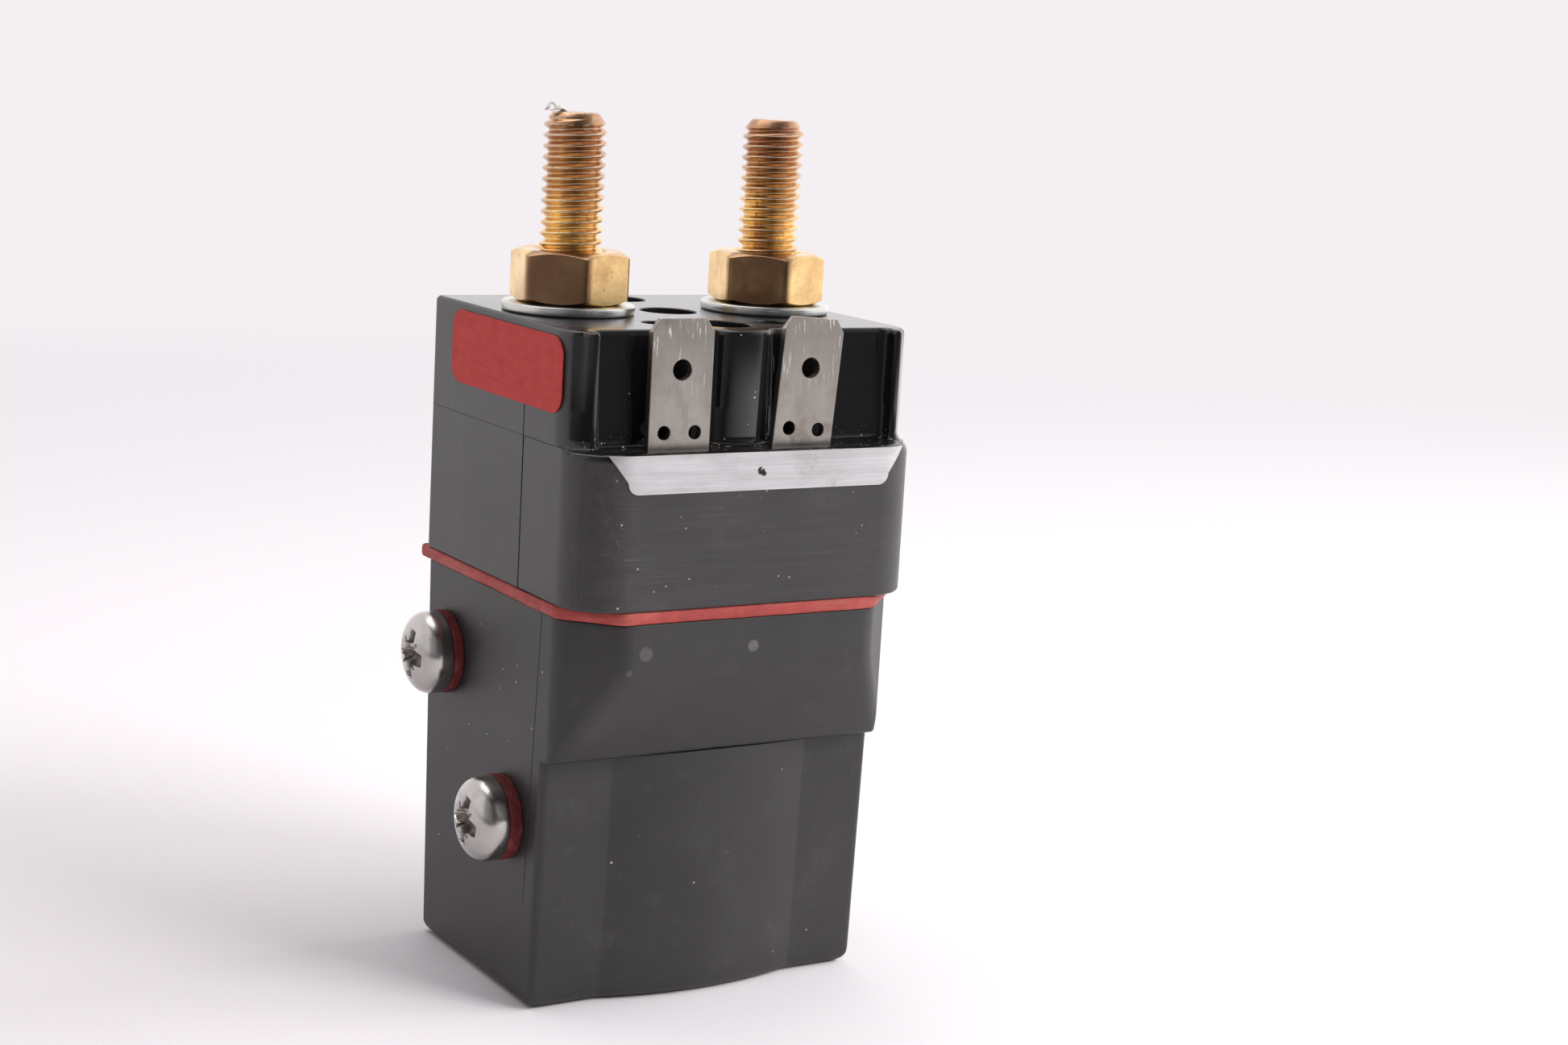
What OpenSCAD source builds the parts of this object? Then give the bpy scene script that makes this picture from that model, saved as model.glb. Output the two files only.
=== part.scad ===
// Single-pole DC contactor with two threaded studs on top and two blade tabs for its coil.
// X runs across the front, Y from the front to the back and Z up from the base.
// The origin is on the base, under the middle of the contact housing.

/* [Body] */
// Width of the contact housing
body_w = 36; // [35:0.1:40]
// Depth of the contact housing, front to back
body_d = 33.4; // [33:0.1:37]
// Height of the contact housing above its gasket
housing_h = 24.8; // [24:0.1:30]
// Height of the coil cover, from the base up to the gasket
cover_h = 37.9; // [37.5:0.1:44]
// Distance by which the coil cover's sides and front stand back from the housing's
cover_in = 0.3; // [0.1:0.05:0.6]
// Thickness of the sealing gasket
gasket_t = 1.2; // [0.8:0.1:1.8]
// Length by which the gasket stands out at the back
gasket_tail = 1.5; // [0:0.1:2]
// Wall of the mouldings
wall = 1.5; // [1.2:0.1:1.7]

/* [Contact housing] */
// Depth of the terminal recess, from the front face to its back wall
recess_d = 4; // [3.6:0.1:4.4]
// Height of the terminal recess, from the shelf to the top face
recess_h = 10.5; // [9:0.1:11.5]
// Width of the ribs at the two ends of the recess
rib_w = 2.5; // [2:0.1:3]
// Cut across the front corners above the shelf
corner_cut = 4.6; // [4.2:0.1:5]
// Radius of the front corners below the shelf
corner_r = 4.9; // [4.2:0.1:5.4]
// Distance of the joint with the front shell from the middle of the body
joint_y = 4.2; // [3.6:0.1:5]
// Height of the front shell's side arms above the shelf
arm_h = 3.5; // [2.5:0.1:4]
// Radius of the round boss in the middle of the recess
boss_r = 5.6; // [5.2:0.1:6.6]
// Radius of the screw wells in the top face
well_r = 2.75; // [2.6:0.05:3]
// Distance of the front screw well behind the front face
front_well_in = 8.6; // [8.4:0.1:9]
// Distance of the rear screw well from the back face
rear_well_in = 4; // [3.8:0.1:4.2]
// Depth of the outer screw wells
well_depth = 12; // [9:0.5:12]
// Radius of the two small core holes beside the boss
core_r = 1.45; // [1.2:0.05:1.8]
// Distance between the contact chamber and the axes of the screw wells
chamber_gap = 3; // [2.6:0.1:3.4]
// Height of the housing's legs, which stand on the pole plate
leg_h = 3.3; // [3:0.1:4]

/* [Studs and nuts] */
// Radius of the stud's M6 thread
stud_r = 3; // [2.5:0.5:3]
// Distance of the studs from the sides of the body
stud_in = 7.3; // [7:0.1:8]
// Height of the studs above the top face
stud_h = 18.5; // [14:0.5:26]
// Thickness of the contact head at the foot of each stud
head_t = 3.2; // [2.8:0.1:3.4]
// Width of the nut across its flats
nut_af = 10; // [9.6:0.1:11]
// Height of the nut
nut_h = 4.9; // [4:0.1:6]
// Turn of the nuts about their studs, in degrees
nut_turn = 20; // [0:1:59]
// Radius of the plain washers under the nuts
washer_r = 6.25; // [6:0.05:6.5]
// Thickness of the plain washers
washer_t = 0.9; // [0.8:0.1:1.6]

/* [Blade tabs] */
// Width of the blade
tab_w = 6.3; // [4.8:0.1:6.3]
// Thickness of the blade
tab_t = 0.8; // [0.5:0.1:0.8]
// Distance between the two blades
tab_pitch = 15.3; // [14.6:0.1:16]
// Height of the blades above the shelf
tab_h = 11.8; // [10:0.1:13]
// Distance of the blade's middle in front of the recess wall
tab_gap = 1.55; // [1.3:0.05:1.8]
// Length of the blade below the shelf
tab_root = 8.5; // [7:0.1:9]
// Lean of the right blade, in degrees
tab_lean = 4.2; // [0:0.1:5]

/* [Coil cover] */
// Distance of the base's front edge behind the front face
toe_in = 7.2; // [6.8:0.1:7.4]
// Distance of the base's back edge from the back face
heel_in = 1.4; // [1.1:0.1:1.6]
// Depth by which the cover's front and back lean out over its height
draft_d = 1.2; // [0.8:0.1:1.4]
// Height of the upright band under the gasket
band_h = 4.9; // [4.4:0.1:5.8]
// Height of the sloped front between that band and the lip
slope_h = 8.8; // [8:0.1:10]
// Distance of the lip's edge behind the front face
lip_in = 4.9; // [4.3:0.1:5.1]
// Radius of the swelling in the front wall
swell_r = 35.7; // [30:0.1:45]
// Distance of that swelling from the cover's sides
swell_in = 7.3; // [6:0.1:9]
// Chamfer round the base
base_edge = 0.8; // [0.4:0.1:1.2]

/* [Side screws] */
// Radius of the screw's thread
side_r = 2; // [1.5:0.1:2]
// Radius of the pan head
pan_r = 4; // [3.4:0.1:4.2]
// Height of the pan head
pan_h = 3.1; // [2.4:0.1:3.6]
// Height of the head's straight edge
pan_edge = 1.2; // [0.8:0.1:1.6]
// Turn of the cross recesses, in degrees
recess_turn = 8; // [0:1:89]
// Thickness of the fibre washers
fibre_t = 1; // [0.6:0.1:1.4]
// Distance of the upper screw from the yoke's back edge
upper_in = 2.55; // [2.3:0.05:3.5]
// Distance of the upper screw below the pole plate
upper_drop = 3.6; // [3:0.1:7]
// Distance of the lower screw from the yoke's front edge
lower_in = 4.55; // [3.5:0.05:5.5]
// Height of the lower screw
lower_z = 17; // [14:0.1:19]

/* [Labels] */
// Distance of the rating sticker's ends from the front and back faces
sticker_in = 5.1; // [4.8:0.1:7]
// Height of the rating sticker
sticker_h = 6.9; // [5:0.1:7]
// Distance of the sticker's upper edge below the top face
sticker_drop = 0.7; // [0.5:0.1:1]
// Height of the foil label on the front
foil_h = 3.5; // [3:0.1:4.5]
// Distance of the foil label's upper corners from the sides of the body
foil_in = 2.5; // [2.2:0.1:4]
// Amount by which the lower edge is shorter at each end
foil_slant = 1.8; // [1:0.1:3]
// Thickness of both labels
label_t = 0.15; // [0.1:0.05:0.3]

/* [Coil and magnet] */
// Thickness of the yoke's steel
yoke_t = 2.5; // [2:0.1:2.8]
// Clearance between the yoke and the cover's front wall
yoke_gap = 0.55; // [0.3:0.05:1.2]
// Length of the fixed pole, from the plunger's end of travel to the pole plate
pole_l = 11.05; // [9:0.05:13]
// Radial clearance of the plunger in its guide tube
plunger_play = 0.08; // [0.04:0.01:0.1]
// Wall of the guide tube
tube_wall = 0.4; // [0.3:0.05:0.6]
// Thickness of the rubber pad under the plunger
pad_t = 1.6; // [1.2:0.1:2.2]
// Thickness of the bobbin's flanges
flange_t = 1.2; // [1:0.1:1.6]
// Wall of the bobbin's barrel
barrel_wall = 0.8; // [0.6:0.1:1.1]
// Radius of the coil's lead wires
lead_r = 0.6; // [0.4:0.05:0.7]

/* [Contacts] */
// Travel of the plunger
travel = 2.1; // [1.8:0.1:2.4]
// Travel of the contact bridge
contact_gap = 1.5; // [1.2:0.1:1.7]
// Radius of the push rod
rod_r = 1.5; // [1.2:0.1:1.6]
// Width of the contact bridge
bridge_w = 8; // [6:0.1:9]
// Thickness of the contact bridge
bridge_t = 2; // [1.5:0.1:2.2]
// Radius of the contact tips
tip_r = 2.6; // [2:0.1:3]
// Thickness of the contact tips
tip_t = 0.9; // [0.6:0.1:1]
// Radius of the springs, to the middle of the wire
spring_r = 2.5; // [2.3:0.1:2.7]
// Radius of the spring wire
wire_r = 0.25; // [0.2:0.05:0.3]

/* [Hidden] */

round_fn = 64;
over = 1;
fit = 0.05;
slip = 0.1;
edge_r = 1;
flange_rim = 0.4;

// Shares of the sizes that these details follow
chamber_share = 0.5;
middle_well_share = 3;
core_gap_share = 2.4;
core_back_share = 0.8;
stud_tip_share = 0.24;
thread_share = 0.89;
tab_tip_shares = [0.12, 0.19];
tab_hole_shares = [0.15, 0.61];
tab_small_hole_shares = [0.1, 0.25, 0.13];
sticker_corner_share = 0.25;
foil_corner_share = 0.3;
recess_shares = [1.05, 0.22];
slot_shares = [1.3, 0.25];
plunger_share = 0.43;
spigot_share = 0.7;
spring_seat_share = 0.62;
lead_drop_share = 1.2;

nut_chamfer = 30;

housing_z = cover_h + gasket_t;
top_z = housing_z + housing_h;
shelf_z = top_z - recess_h;
arm_z = shelf_z + arm_h;
chamber_h = housing_h * chamber_share;
roof_z = housing_z + chamber_h;
front_y = -body_d / 2;
back_y = body_d / 2;
recess_y = front_y + recess_d;
side_x = body_w / 2;
tongue_x = side_x - wall;
tongue_y = recess_y + wall;
seat_z = top_z - well_depth;
front_well_y = front_y + front_well_in;
rear_well_y = back_y - rear_well_in;
axis_y = (front_well_y + rear_well_y) / 2;
chamber_half = rear_well_y - axis_y - chamber_gap;
middle_well_depth = well_r * middle_well_share;
core_depth = recess_h - wall * 2;
screw_r = 1.5;
screw_head_r = well_r - slip;
screw_head_h = 2.4;
core_x = well_r + core_r * core_gap_share;
core_y = front_well_y + core_r * core_back_share;
chamber_x = tongue_x - wall;
stud_pitch = body_w - 2 * stud_in;

cover_x = side_x - cover_in;
inner_x = cover_x - wall;
cover_front = -front_y - cover_in;
base_front = -front_y - toe_in;
base_back = back_y - heel_in;
cover_back = base_back + draft_d;
bend_z = cover_h - band_h;
lip_z = bend_z - slope_h;
lip_front = -front_y - lip_in;
swell_half = cover_x - swell_in;
floor_z = wall;
plate_top = housing_z - leg_h;
plate_z = plate_top - yoke_t;
yoke_back = base_back - wall - fit;
yoke_front = wall - base_front + yoke_gap;
yoke_d = yoke_back - yoke_front;
plate_front = tongue_y + 2 * slip;
plate_back = base_back - wall + draft_d * (plate_z - wall) / cover_h;
leg_wall = 0.55;
leg_r = screw_r + slip + leg_wall;

flange_r = min(inner_x - yoke_t, base_back - wall - axis_y) - slip;
winding_r = flange_r - flange_rim;
plunger_r = flange_r * plunger_share;
tube_r = plunger_r + plunger_play;
barrel_r = tube_r + tube_wall + fit;
coil_z = floor_z + yoke_t;
plunger_z = floor_z + pad_t;
plunger_top = plate_z - pole_l - travel - fit;
plunger_l = plunger_top - plunger_z;
pole_z = plate_z - pole_l;
spigot_r = plunger_r * spigot_share;
spring_seat_z = plunger_z + plunger_l * spring_seat_share;

head_z = roof_z - head_t;
head_r = chamber_x - stud_pitch / 2 - slip;
bridge_half = stud_pitch / 2 + tip_r + 2 * slip;
fixed_tip_z = head_z - tip_t;
moving_tip_z = fixed_tip_z - fit - contact_gap - tip_t;
bridge_z = moving_tip_z - bridge_t;
clip_z = bridge_z + bridge_t;
clip_t = 0.8;
clip_r = spring_r + wire_r * 2;
collar_z = plate_top + clip_t;
rod_top = top_z - middle_well_depth + clip_t;
rod_hold = rod_r * 3;

nut_z = top_z + washer_t;
nut_top = nut_z + nut_h + slip;
thread_r = stud_r * thread_share;

blade_y = recess_y - tab_gap;
shoulder_gap = 0.4;
lead_y = tongue_y - lead_r - 2 * slip;
lead_z = plate_z - flange_t - lead_r * lead_drop_share;
lead_top = shelf_z - tab_root + lead_r * 2;

// Rectangle with round corners in a plan, made of plain squares and circles
module round_plan(x, y0, y1, r) {
    difference() {
        translate([-x, y0]) square([2 * x, y1 - y0]);
        for (s = [-1, 1], e = [0, 1]) {
            translate([s * (x - r / 2), e == 0 ? y0 + r / 2 : y1 - r / 2])
                square([r + fit, r + fit], center = true);
        }
    }
    for (s = [-1, 1]) {
        translate([s * (x - r), y0 + r]) circle(r = r, $fn = round_fn);
        translate([s * (x - r), y1 - r]) circle(r = r, $fn = round_fn);
    }
}

// Plan of a block whose front corners are cut across
module cut_plan(x, y0, y1, cut) {
    polygon([[-x, y1], [-x, y0 + cut], [-x + cut, y0], [x - cut, y0], [x, y0 + cut], [x, y1]]);
}

// Plan of a block whose front corners are round
module round_front_plan(x, y0, y1, r) {
    translate([-x, y0 + r]) square([2 * x, y1 - y0 - r]);
    translate([-x + r, y0]) square([2 * (x - r), r + fit]);
    for (s = [-1, 1]) translate([s * (x - r), y0 + r]) circle(r = r, $fn = round_fn);
}

// Prism with its outline in the YZ plane, as wide as x to each side
module side_prism(x, points) {
    translate([-x, 0, 0]) rotate([90, 0, 90]) linear_extrude(2 * x) polygon(points);
}

// Upright cylinder from z0 to z1
module post(x, y, z0, z1, r) {
    translate([x, y, z0]) cylinder(r = r, h = z1 - z0, $fn = round_fn);
}

// Ring with a bore, from z0 to z1
module ring(x, y, z0, z1, r, bore) {
    difference() {
        post(x, y, z0, z1, r);
        post(x, y, z0 - over, z1 + over, bore);
    }
}

// Places its children on both studs
module at_studs() {
    for (s = [-1, 1]) translate([s * stud_pitch / 2, axis_y, 0]) children();
}

// Places its children on both side screws, pointing out of the left face
module at_side_screws() {
    for (p = [[yoke_back - upper_in, plate_z - upper_drop], [yoke_front + lower_in, lower_z]]) {
        translate([-cover_x, p[0], p[1]]) rotate([0, -90, 0]) children();
    }
}

// Round wire wound as a helix from z0 to z1 about the coil's axis
module helix(r, wire, z0, z1, turns) {
    steps = 12;
    sides = 6;
    rings = steps * turns;
    rise = z1 - z0 - 2 * wire;
    points = [
        for (i = [0 : rings], j = [0 : sides - 1])
            let (a = 360 * i / steps, b = 360 * j / sides, d = r + wire * cos(b))
                [d * cos(a), axis_y + d * sin(a), z0 + wire + rise * i / rings + wire * sin(b)]
    ];
    walls = [
        for (i = [0 : rings - 1], j = [0 : sides - 1])
            let (k = (j + 1) % sides)
                [i * sides + j, i * sides + k, (i + 1) * sides + k, (i + 1) * sides + j]
    ];
    foot = [for (j = [sides - 1 : -1 : 0]) j];
    head = [for (j = [0 : sides - 1]) rings * sides + j];
    polyhedron(points, concat([foot], walls, [head]));
}

module contact_housing() {
    color("#232223") difference() {
        union() {
            translate([0, 0, arm_z]) linear_extrude(top_z - arm_z)
                cut_plan(side_x, front_y, back_y, corner_cut);
            translate([0, 0, housing_z]) linear_extrude(arm_z - housing_z) {
                translate([-side_x, -joint_y]) square([body_w, back_y + joint_y]);
                translate([-tongue_x, tongue_y]) square([2 * tongue_x, -joint_y - tongue_y + over]);
            }
            translate([0, 0, shelf_z]) linear_extrude(arm_z - shelf_z) difference() {
                cut_plan(side_x, front_y, -joint_y, corner_cut);
                for (s = [-1, 1]) {
                    translate([s * (side_x + tongue_x) / 2, front_y + corner_cut + body_d / 2])
                        square([wall, body_d], center = true);
                }
            }
            for (y = [front_well_y, rear_well_y]) post(0, y, plate_top, housing_z + over, leg_r);
        }
        terminal_recess();
        translate([-chamber_x, axis_y - chamber_half, housing_z - over])
            cube([2 * chamber_x, 2 * chamber_half, chamber_h + over]);
        at_studs() post(0, 0, roof_z - over, top_z + over, stud_r + fit);
        for (y = [front_well_y, rear_well_y]) {
            post(0, y, seat_z, top_z + over, well_r);
            post(0, y, plate_top - over, seat_z + over, screw_r + slip);
        }
        post(0, axis_y, top_z - middle_well_depth, top_z + over, well_r);
        post(0, axis_y, roof_z - over, top_z, rod_r + fit);
        for (s = [-1, 1]) post(s * core_x, core_y, top_z - core_depth, top_z + over, core_r);
    }
}

// Space in front of the recess wall, with the round boss left standing in its middle
module terminal_recess() {
    difference() {
        translate([-side_x + rib_w, front_y - over, shelf_z - over])
            cube([body_w - 2 * rib_w, recess_d + over, recess_h + 2 * over]);
        post(0, front_well_y, shelf_z - 2 * over, top_z + 2 * over, boss_r);
    }
}

module front_shell() {
    color("#2b2a2b") difference() {
        union() {
            translate([0, 0, housing_z]) linear_extrude(shelf_z - housing_z)
                round_front_plan(side_x, front_y, -joint_y - slip, corner_r);
            for (s = [-1, 1]) {
                translate([s * (side_x + tongue_x) / 2, front_y + corner_cut, shelf_z - over])
                    translate([-wall / 2, slip, 0])
                        cube([wall, -joint_y - 2 * slip - front_y - corner_cut, arm_h + over - slip]);
            }
        }
        translate([-tongue_x - slip, tongue_y - slip, housing_z - over])
            cube([2 * (tongue_x + slip), body_d, shelf_z - housing_z + over + arm_h * 2]);
        translate([0, 0, housing_z - over]) linear_extrude(shelf_z - wall - housing_z + over)
            round_front_plan(side_x - wall, front_y + wall, -joint_y + over, corner_r - wall);
        for (s = [-1, 1]) {
            translate([s * tab_pitch / 2, blade_y, shelf_z])
                cube([tab_w + 4 * slip, tab_t + 2 * slip, 2 * wall + over], center = true);
        }
    }
}

// Outline of the coil cover from the side, drawn in by a wall where it is asked for
function cover_side(w) = [
    [-base_front + w, w], [-base_front - draft_d * lip_z / cover_h + w, lip_z + w],
    [-lip_front + w, lip_z + w], [-cover_front + w, bend_z + w],
    [-cover_front + w, cover_h + w], [cover_back - w, cover_h + w],
    [base_back - w, w]
];

// Part of a cone that swells out of the cover's lower front wall
module swelling(w) {
    depth = swell_r - sqrt(swell_r * swell_r - swell_half * swell_half);
    intersection() {
        translate([0, swell_r - base_front - depth + w, w])
            cylinder(r1 = swell_r, r2 = swell_r + draft_d * lip_z / cover_h, h = lip_z - w, $fn = round_fn * 2);
        translate([-swell_half, -body_d / 2, 0]) cube([2 * swell_half, body_d / 2, lip_z]);
    }
}

module coil_cover() {
    color("#505052") difference() {
        intersection() {
            union() {
                side_prism(cover_x, cover_side(0));
                swelling(0);
            }
            linear_extrude(cover_h) intersection() {
                cut_plan(cover_x, -cover_front, cover_back, corner_cut);
                round_plan(cover_x, -cover_front * 2, cover_back, edge_r);
            }
            rotate([90, 0, 0]) translate([0, 0, -cover_back - over]) linear_extrude(cover_back * 2 + body_d)
                cut_plan(cover_x, 0, cover_h, base_edge);
        }
        intersection() {
            union() {
                side_prism(inner_x, cover_side(wall));
                swelling(wall);
            }
            translate([0, 0, wall]) linear_extrude(cover_h)
                cut_plan(inner_x, -cover_front + wall, cover_back, corner_cut - wall / 2);
        }
        at_side_screws() post(0, 0, -2 * wall, over, side_r + slip);
    }
}

module sealing_gasket() {
    color("#a8403a") translate([0, 0, cover_h]) linear_extrude(gasket_t) difference() {
        cut_plan(cover_x, -cover_front, cover_back + gasket_tail, corner_cut);
        cut_plan(inner_x, -cover_front + wall, cover_back - wall, corner_cut - wall / 2);
    }
}

// Stud with its contact head; inside the nut it is drawn at the radius where the threads meet
module stud(s) {
    chamfer = stud_r * stud_tip_share;
    color("#c79a4b") translate([s * stud_pitch / 2, axis_y, 0]) {
        post(0, 0, head_z, roof_z, head_r);
        post(0, 0, roof_z, nut_z, stud_r);
        post(0, 0, nut_z, nut_top, thread_r);
        post(0, 0, nut_top, top_z + stud_h - chamfer, stud_r);
        translate([0, 0, top_z + stud_h - chamfer])
            cylinder(r1 = stud_r, r2 = stud_r - chamfer, h = chamfer, $fn = round_fn);
    }
}

module left_stud() { stud(-1); }

module right_stud() { stud(1); }

module stud_washers() {
    color("#b9b7a8") at_studs() ring(0, 0, top_z, nut_z, washer_r, stud_r + slip * 2);
}

// Hexagon nut with both ends chamfered
module nut() {
    corner = nut_af / 2 / cos(nut_chamfer);
    drop = (corner - nut_af / 2) * tan(nut_chamfer);
    difference() {
        intersection() {
            rotate(nut_turn) cylinder(r = corner, h = nut_h, $fn = 6);
            rotate_extrude($fn = round_fn) polygon([
                [0, 0], [nut_af / 2, 0], [corner, drop],
                [corner, nut_h - drop], [nut_af / 2, nut_h], [0, nut_h]
            ]);
        }
        post(0, 0, -over, nut_h + over, thread_r + fit / 2);
    }
}

module stud_nuts() {
    color("#c08e44") at_studs() translate([0, 0, nut_z]) nut();
}

// Flat outline of a blade tab, with its foot at zero and its tip cut at both corners
module tab_plan() {
    tip_x = tab_w * tab_tip_shares[0];
    tip_z = tab_w * tab_tip_shares[1];
    length = tab_root + tab_h;
    hole_r = tab_w * tab_hole_shares[0];
    hole_z = tab_root + tab_h * tab_hole_shares[1];
    small_r = tab_w * tab_small_hole_shares[0];
    small_x = tab_w * tab_small_hole_shares[1];
    small_z = tab_root + tab_h * tab_small_hole_shares[2];
    difference() {
        union() {
            polygon([
                [-tab_w / 2, 0], [tab_w / 2, 0], [tab_w / 2, length - tip_z], [tab_w / 2 - tip_x, length],
                [-tab_w / 2 + tip_x, length], [-tab_w / 2, length - tip_z]
            ]);
            translate([-tab_w / 2 - wall / 2, 0]) square([tab_w + wall, tab_root - wall - shoulder_gap]);
        }
        translate([0, hole_z]) circle(r = hole_r, $fn = round_fn);
        for (s = [-1, 1]) translate([s * small_x, small_z]) circle(r = small_r, $fn = round_fn);
    }
}

module coil_tab(s, lean) {
    color("#a9a59c") translate([s * tab_pitch / 2, blade_y, shelf_z - wall / 2]) rotate([0, lean, 0])
        translate([0, tab_t / 2, wall / 2 - tab_root]) rotate([90, 0, 0]) linear_extrude(tab_t) tab_plan();
}

module left_coil_tab() { coil_tab(-1, 0); }

module right_coil_tab() { coil_tab(1, tab_lean); }

module rating_sticker() {
    corner = sticker_h * sticker_corner_share;
    x = -side_x - label_t;
    sticker_l = body_d - 2 * sticker_in;
    color("#b23f3c") translate([x, -sticker_l / 2, top_z - sticker_drop - sticker_h / 2])
        rotate([90, 0, 90]) linear_extrude(label_t)
            translate([sticker_l / 2, 0]) round_plan(sticker_l / 2, -sticker_h / 2, sticker_h / 2, corner);
}

module front_foil_label() {
    foil_z = shelf_z - label_t / 2;
    foil_r = foil_h * foil_corner_share;
    foil_half = side_x - foil_in;
    low_half = foil_half - foil_slant - foil_r;
    color("#b4b6b8") difference() {
        intersection() {
            translate([0, 0, foil_z - foil_h]) linear_extrude(foil_h)
                round_front_plan(side_x + label_t, front_y - label_t, 0, corner_r + label_t);
            rotate([90, 0, 0]) linear_extrude(body_d) {
                polygon([
                    [-foil_half, foil_z], [-foil_half + foil_slant, foil_z - foil_h + foil_r],
                    [-low_half, foil_z - foil_h], [low_half, foil_z - foil_h],
                    [foil_half - foil_slant, foil_z - foil_h + foil_r], [foil_half, foil_z]
                ]);
                for (s = [-1, 1]) translate([s * low_half, foil_z - foil_h + foil_r])
                    circle(r = foil_r, $fn = round_fn);
            }
        }
        translate([0, 0, housing_z]) linear_extrude(housing_h)
            round_front_plan(side_x, front_y, over, corner_r);
    }
}

module side_screws() {
    cap_h = pan_h - pan_edge;
    cap_r = (pan_r * pan_r + cap_h * cap_h) / (2 * cap_h);
    color("#b5b3ae") at_side_screws() {
        post(0, 0, -wall - yoke_t, fibre_t + over / 2, side_r - fit);
        translate([0, 0, fibre_t]) difference() {
            union() {
                post(0, 0, 0, pan_edge, pan_r);
                intersection() {
                    post(0, 0, 0, pan_h, pan_r);
                    translate([0, 0, pan_h - cap_r]) sphere(r = cap_r, $fn = round_fn);
                }
            }
            for (a = [0, 90]) rotate(a + recess_turn) translate([0, 0, pan_h])
                cube([pan_r * recess_shares[0], pan_r * recess_shares[1], pan_h], center = true);
        }
    }
}

module fibre_washers() {
    color("#ab4642") at_side_screws() ring(0, 0, 0, fibre_t, pan_r, side_r + fit);
}

module housing_screws() {
    color("#a5a39e") for (y = [front_well_y, rear_well_y]) {
        post(0, y, plate_z, seat_z, screw_r);
        difference() {
            post(0, y, seat_z, seat_z + screw_head_h, screw_head_r);
            for (a = [0, 90]) translate([0, y, seat_z + screw_head_h]) rotate(a)
                cube([screw_head_r * slot_shares[0], screw_head_r * slot_shares[1], screw_head_h],
                    center = true);
        }
    }
}

module fixed_contact_tips() {
    color("#d8d8d4") at_studs() post(0, 0, fixed_tip_z, head_z, tip_r);
}

module moving_contact_tips() {
    color("#d8d8d4") at_studs() post(0, 0, moving_tip_z, moving_tip_z + tip_t, tip_r);
}

module contact_bridge() {
    color("#b87345") difference() {
        translate([-bridge_half, axis_y - bridge_w / 2, bridge_z])
            cube([2 * bridge_half, bridge_w, bridge_t]);
        post(0, axis_y, bridge_z - over, clip_z + over, rod_r + slip);
    }
}

module contact_spring() {
    color("#9c9c9c") helix(spring_r, wire_r, collar_z + clip_t, bridge_z, 5);
}

module return_spring() {
    color("#9c9c9c") helix(spring_r, wire_r, spring_seat_z, pole_z, 7);
}

module spring_collar() {
    color("#a5a39e") ring(0, axis_y, collar_z, collar_z + clip_t, clip_r, rod_r + fit / 2);
}

module bridge_clip() {
    color("#a5a39e") ring(0, axis_y, clip_z + fit, clip_z + clip_t, clip_r, rod_r + fit / 2);
}

module push_rod() {
    color("#c9b06a") post(0, axis_y, spring_seat_z - rod_hold, rod_top, rod_r);
}

module plunger() {
    color("#a8a8aa") difference() {
        post(0, axis_y, plunger_z, plunger_top, plunger_r);
        post(0, axis_y, spring_seat_z, plunger_top + over, spring_r + wire_r * 2);
        post(0, axis_y, spring_seat_z - rod_hold, spring_seat_z + over, rod_r + fit / 2);
    }
}

module guide_tube() {
    color("#c79a4b") ring(0, axis_y, floor_z, pole_z + plunger_r, barrel_r - fit, tube_r);
}

module plunger_pad() {
    color("#2a2a2a") post(0, axis_y, floor_z, plunger_z, plunger_r - slip);
}

module fixed_pole() {
    color("#9a9a9c") difference() {
        union() {
            post(0, axis_y, pole_z, plate_z, tube_r - fit);
            post(0, axis_y, plate_z, plate_top, spigot_r);
        }
        post(0, axis_y, pole_z - over, plate_top + over, rod_r + fit);
    }
}

module yoke_frame() {
    color("#8f9092") difference() {
        union() {
            translate([-inner_x, yoke_front, floor_z]) cube([2 * inner_x, yoke_d, yoke_t]);
            for (s = [-1, 1]) {
                translate([s * (inner_x - yoke_t / 2) - yoke_t / 2, yoke_front, floor_z])
                    cube([yoke_t, yoke_d, plate_z - floor_z]);
            }
        }
        post(0, axis_y, floor_z - over, coil_z + over, barrel_r);
        at_side_screws() post(0, 0, -wall - yoke_t - over, over, side_r);
    }
}

module pole_plate() {
    color("#8f9092") difference() {
        translate([-inner_x + fit, plate_front, plate_z])
            cube([2 * (inner_x - fit), plate_back - plate_front - fit, yoke_t]);
        post(0, axis_y, plate_z - over, plate_top + over, spigot_r + fit);
        for (y = [front_well_y, rear_well_y]) post(0, y, plate_z - over, plate_top + over, screw_r + fit / 2);
    }
}

module coil_bobbin() {
    color("#d9d4c6") difference() {
        union() {
            post(0, axis_y, coil_z, plate_z, barrel_r + barrel_wall);
            post(0, axis_y, coil_z, coil_z + flange_t, flange_r);
            post(0, axis_y, plate_z - flange_t, plate_z, flange_r);
        }
        post(0, axis_y, coil_z - over, plate_z + over, barrel_r);
    }
}

module coil_winding() {
    color("#9c4a24")
        ring(0, axis_y, coil_z + flange_t, plate_z - flange_t, winding_r, barrel_r + barrel_wall);
}

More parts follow.
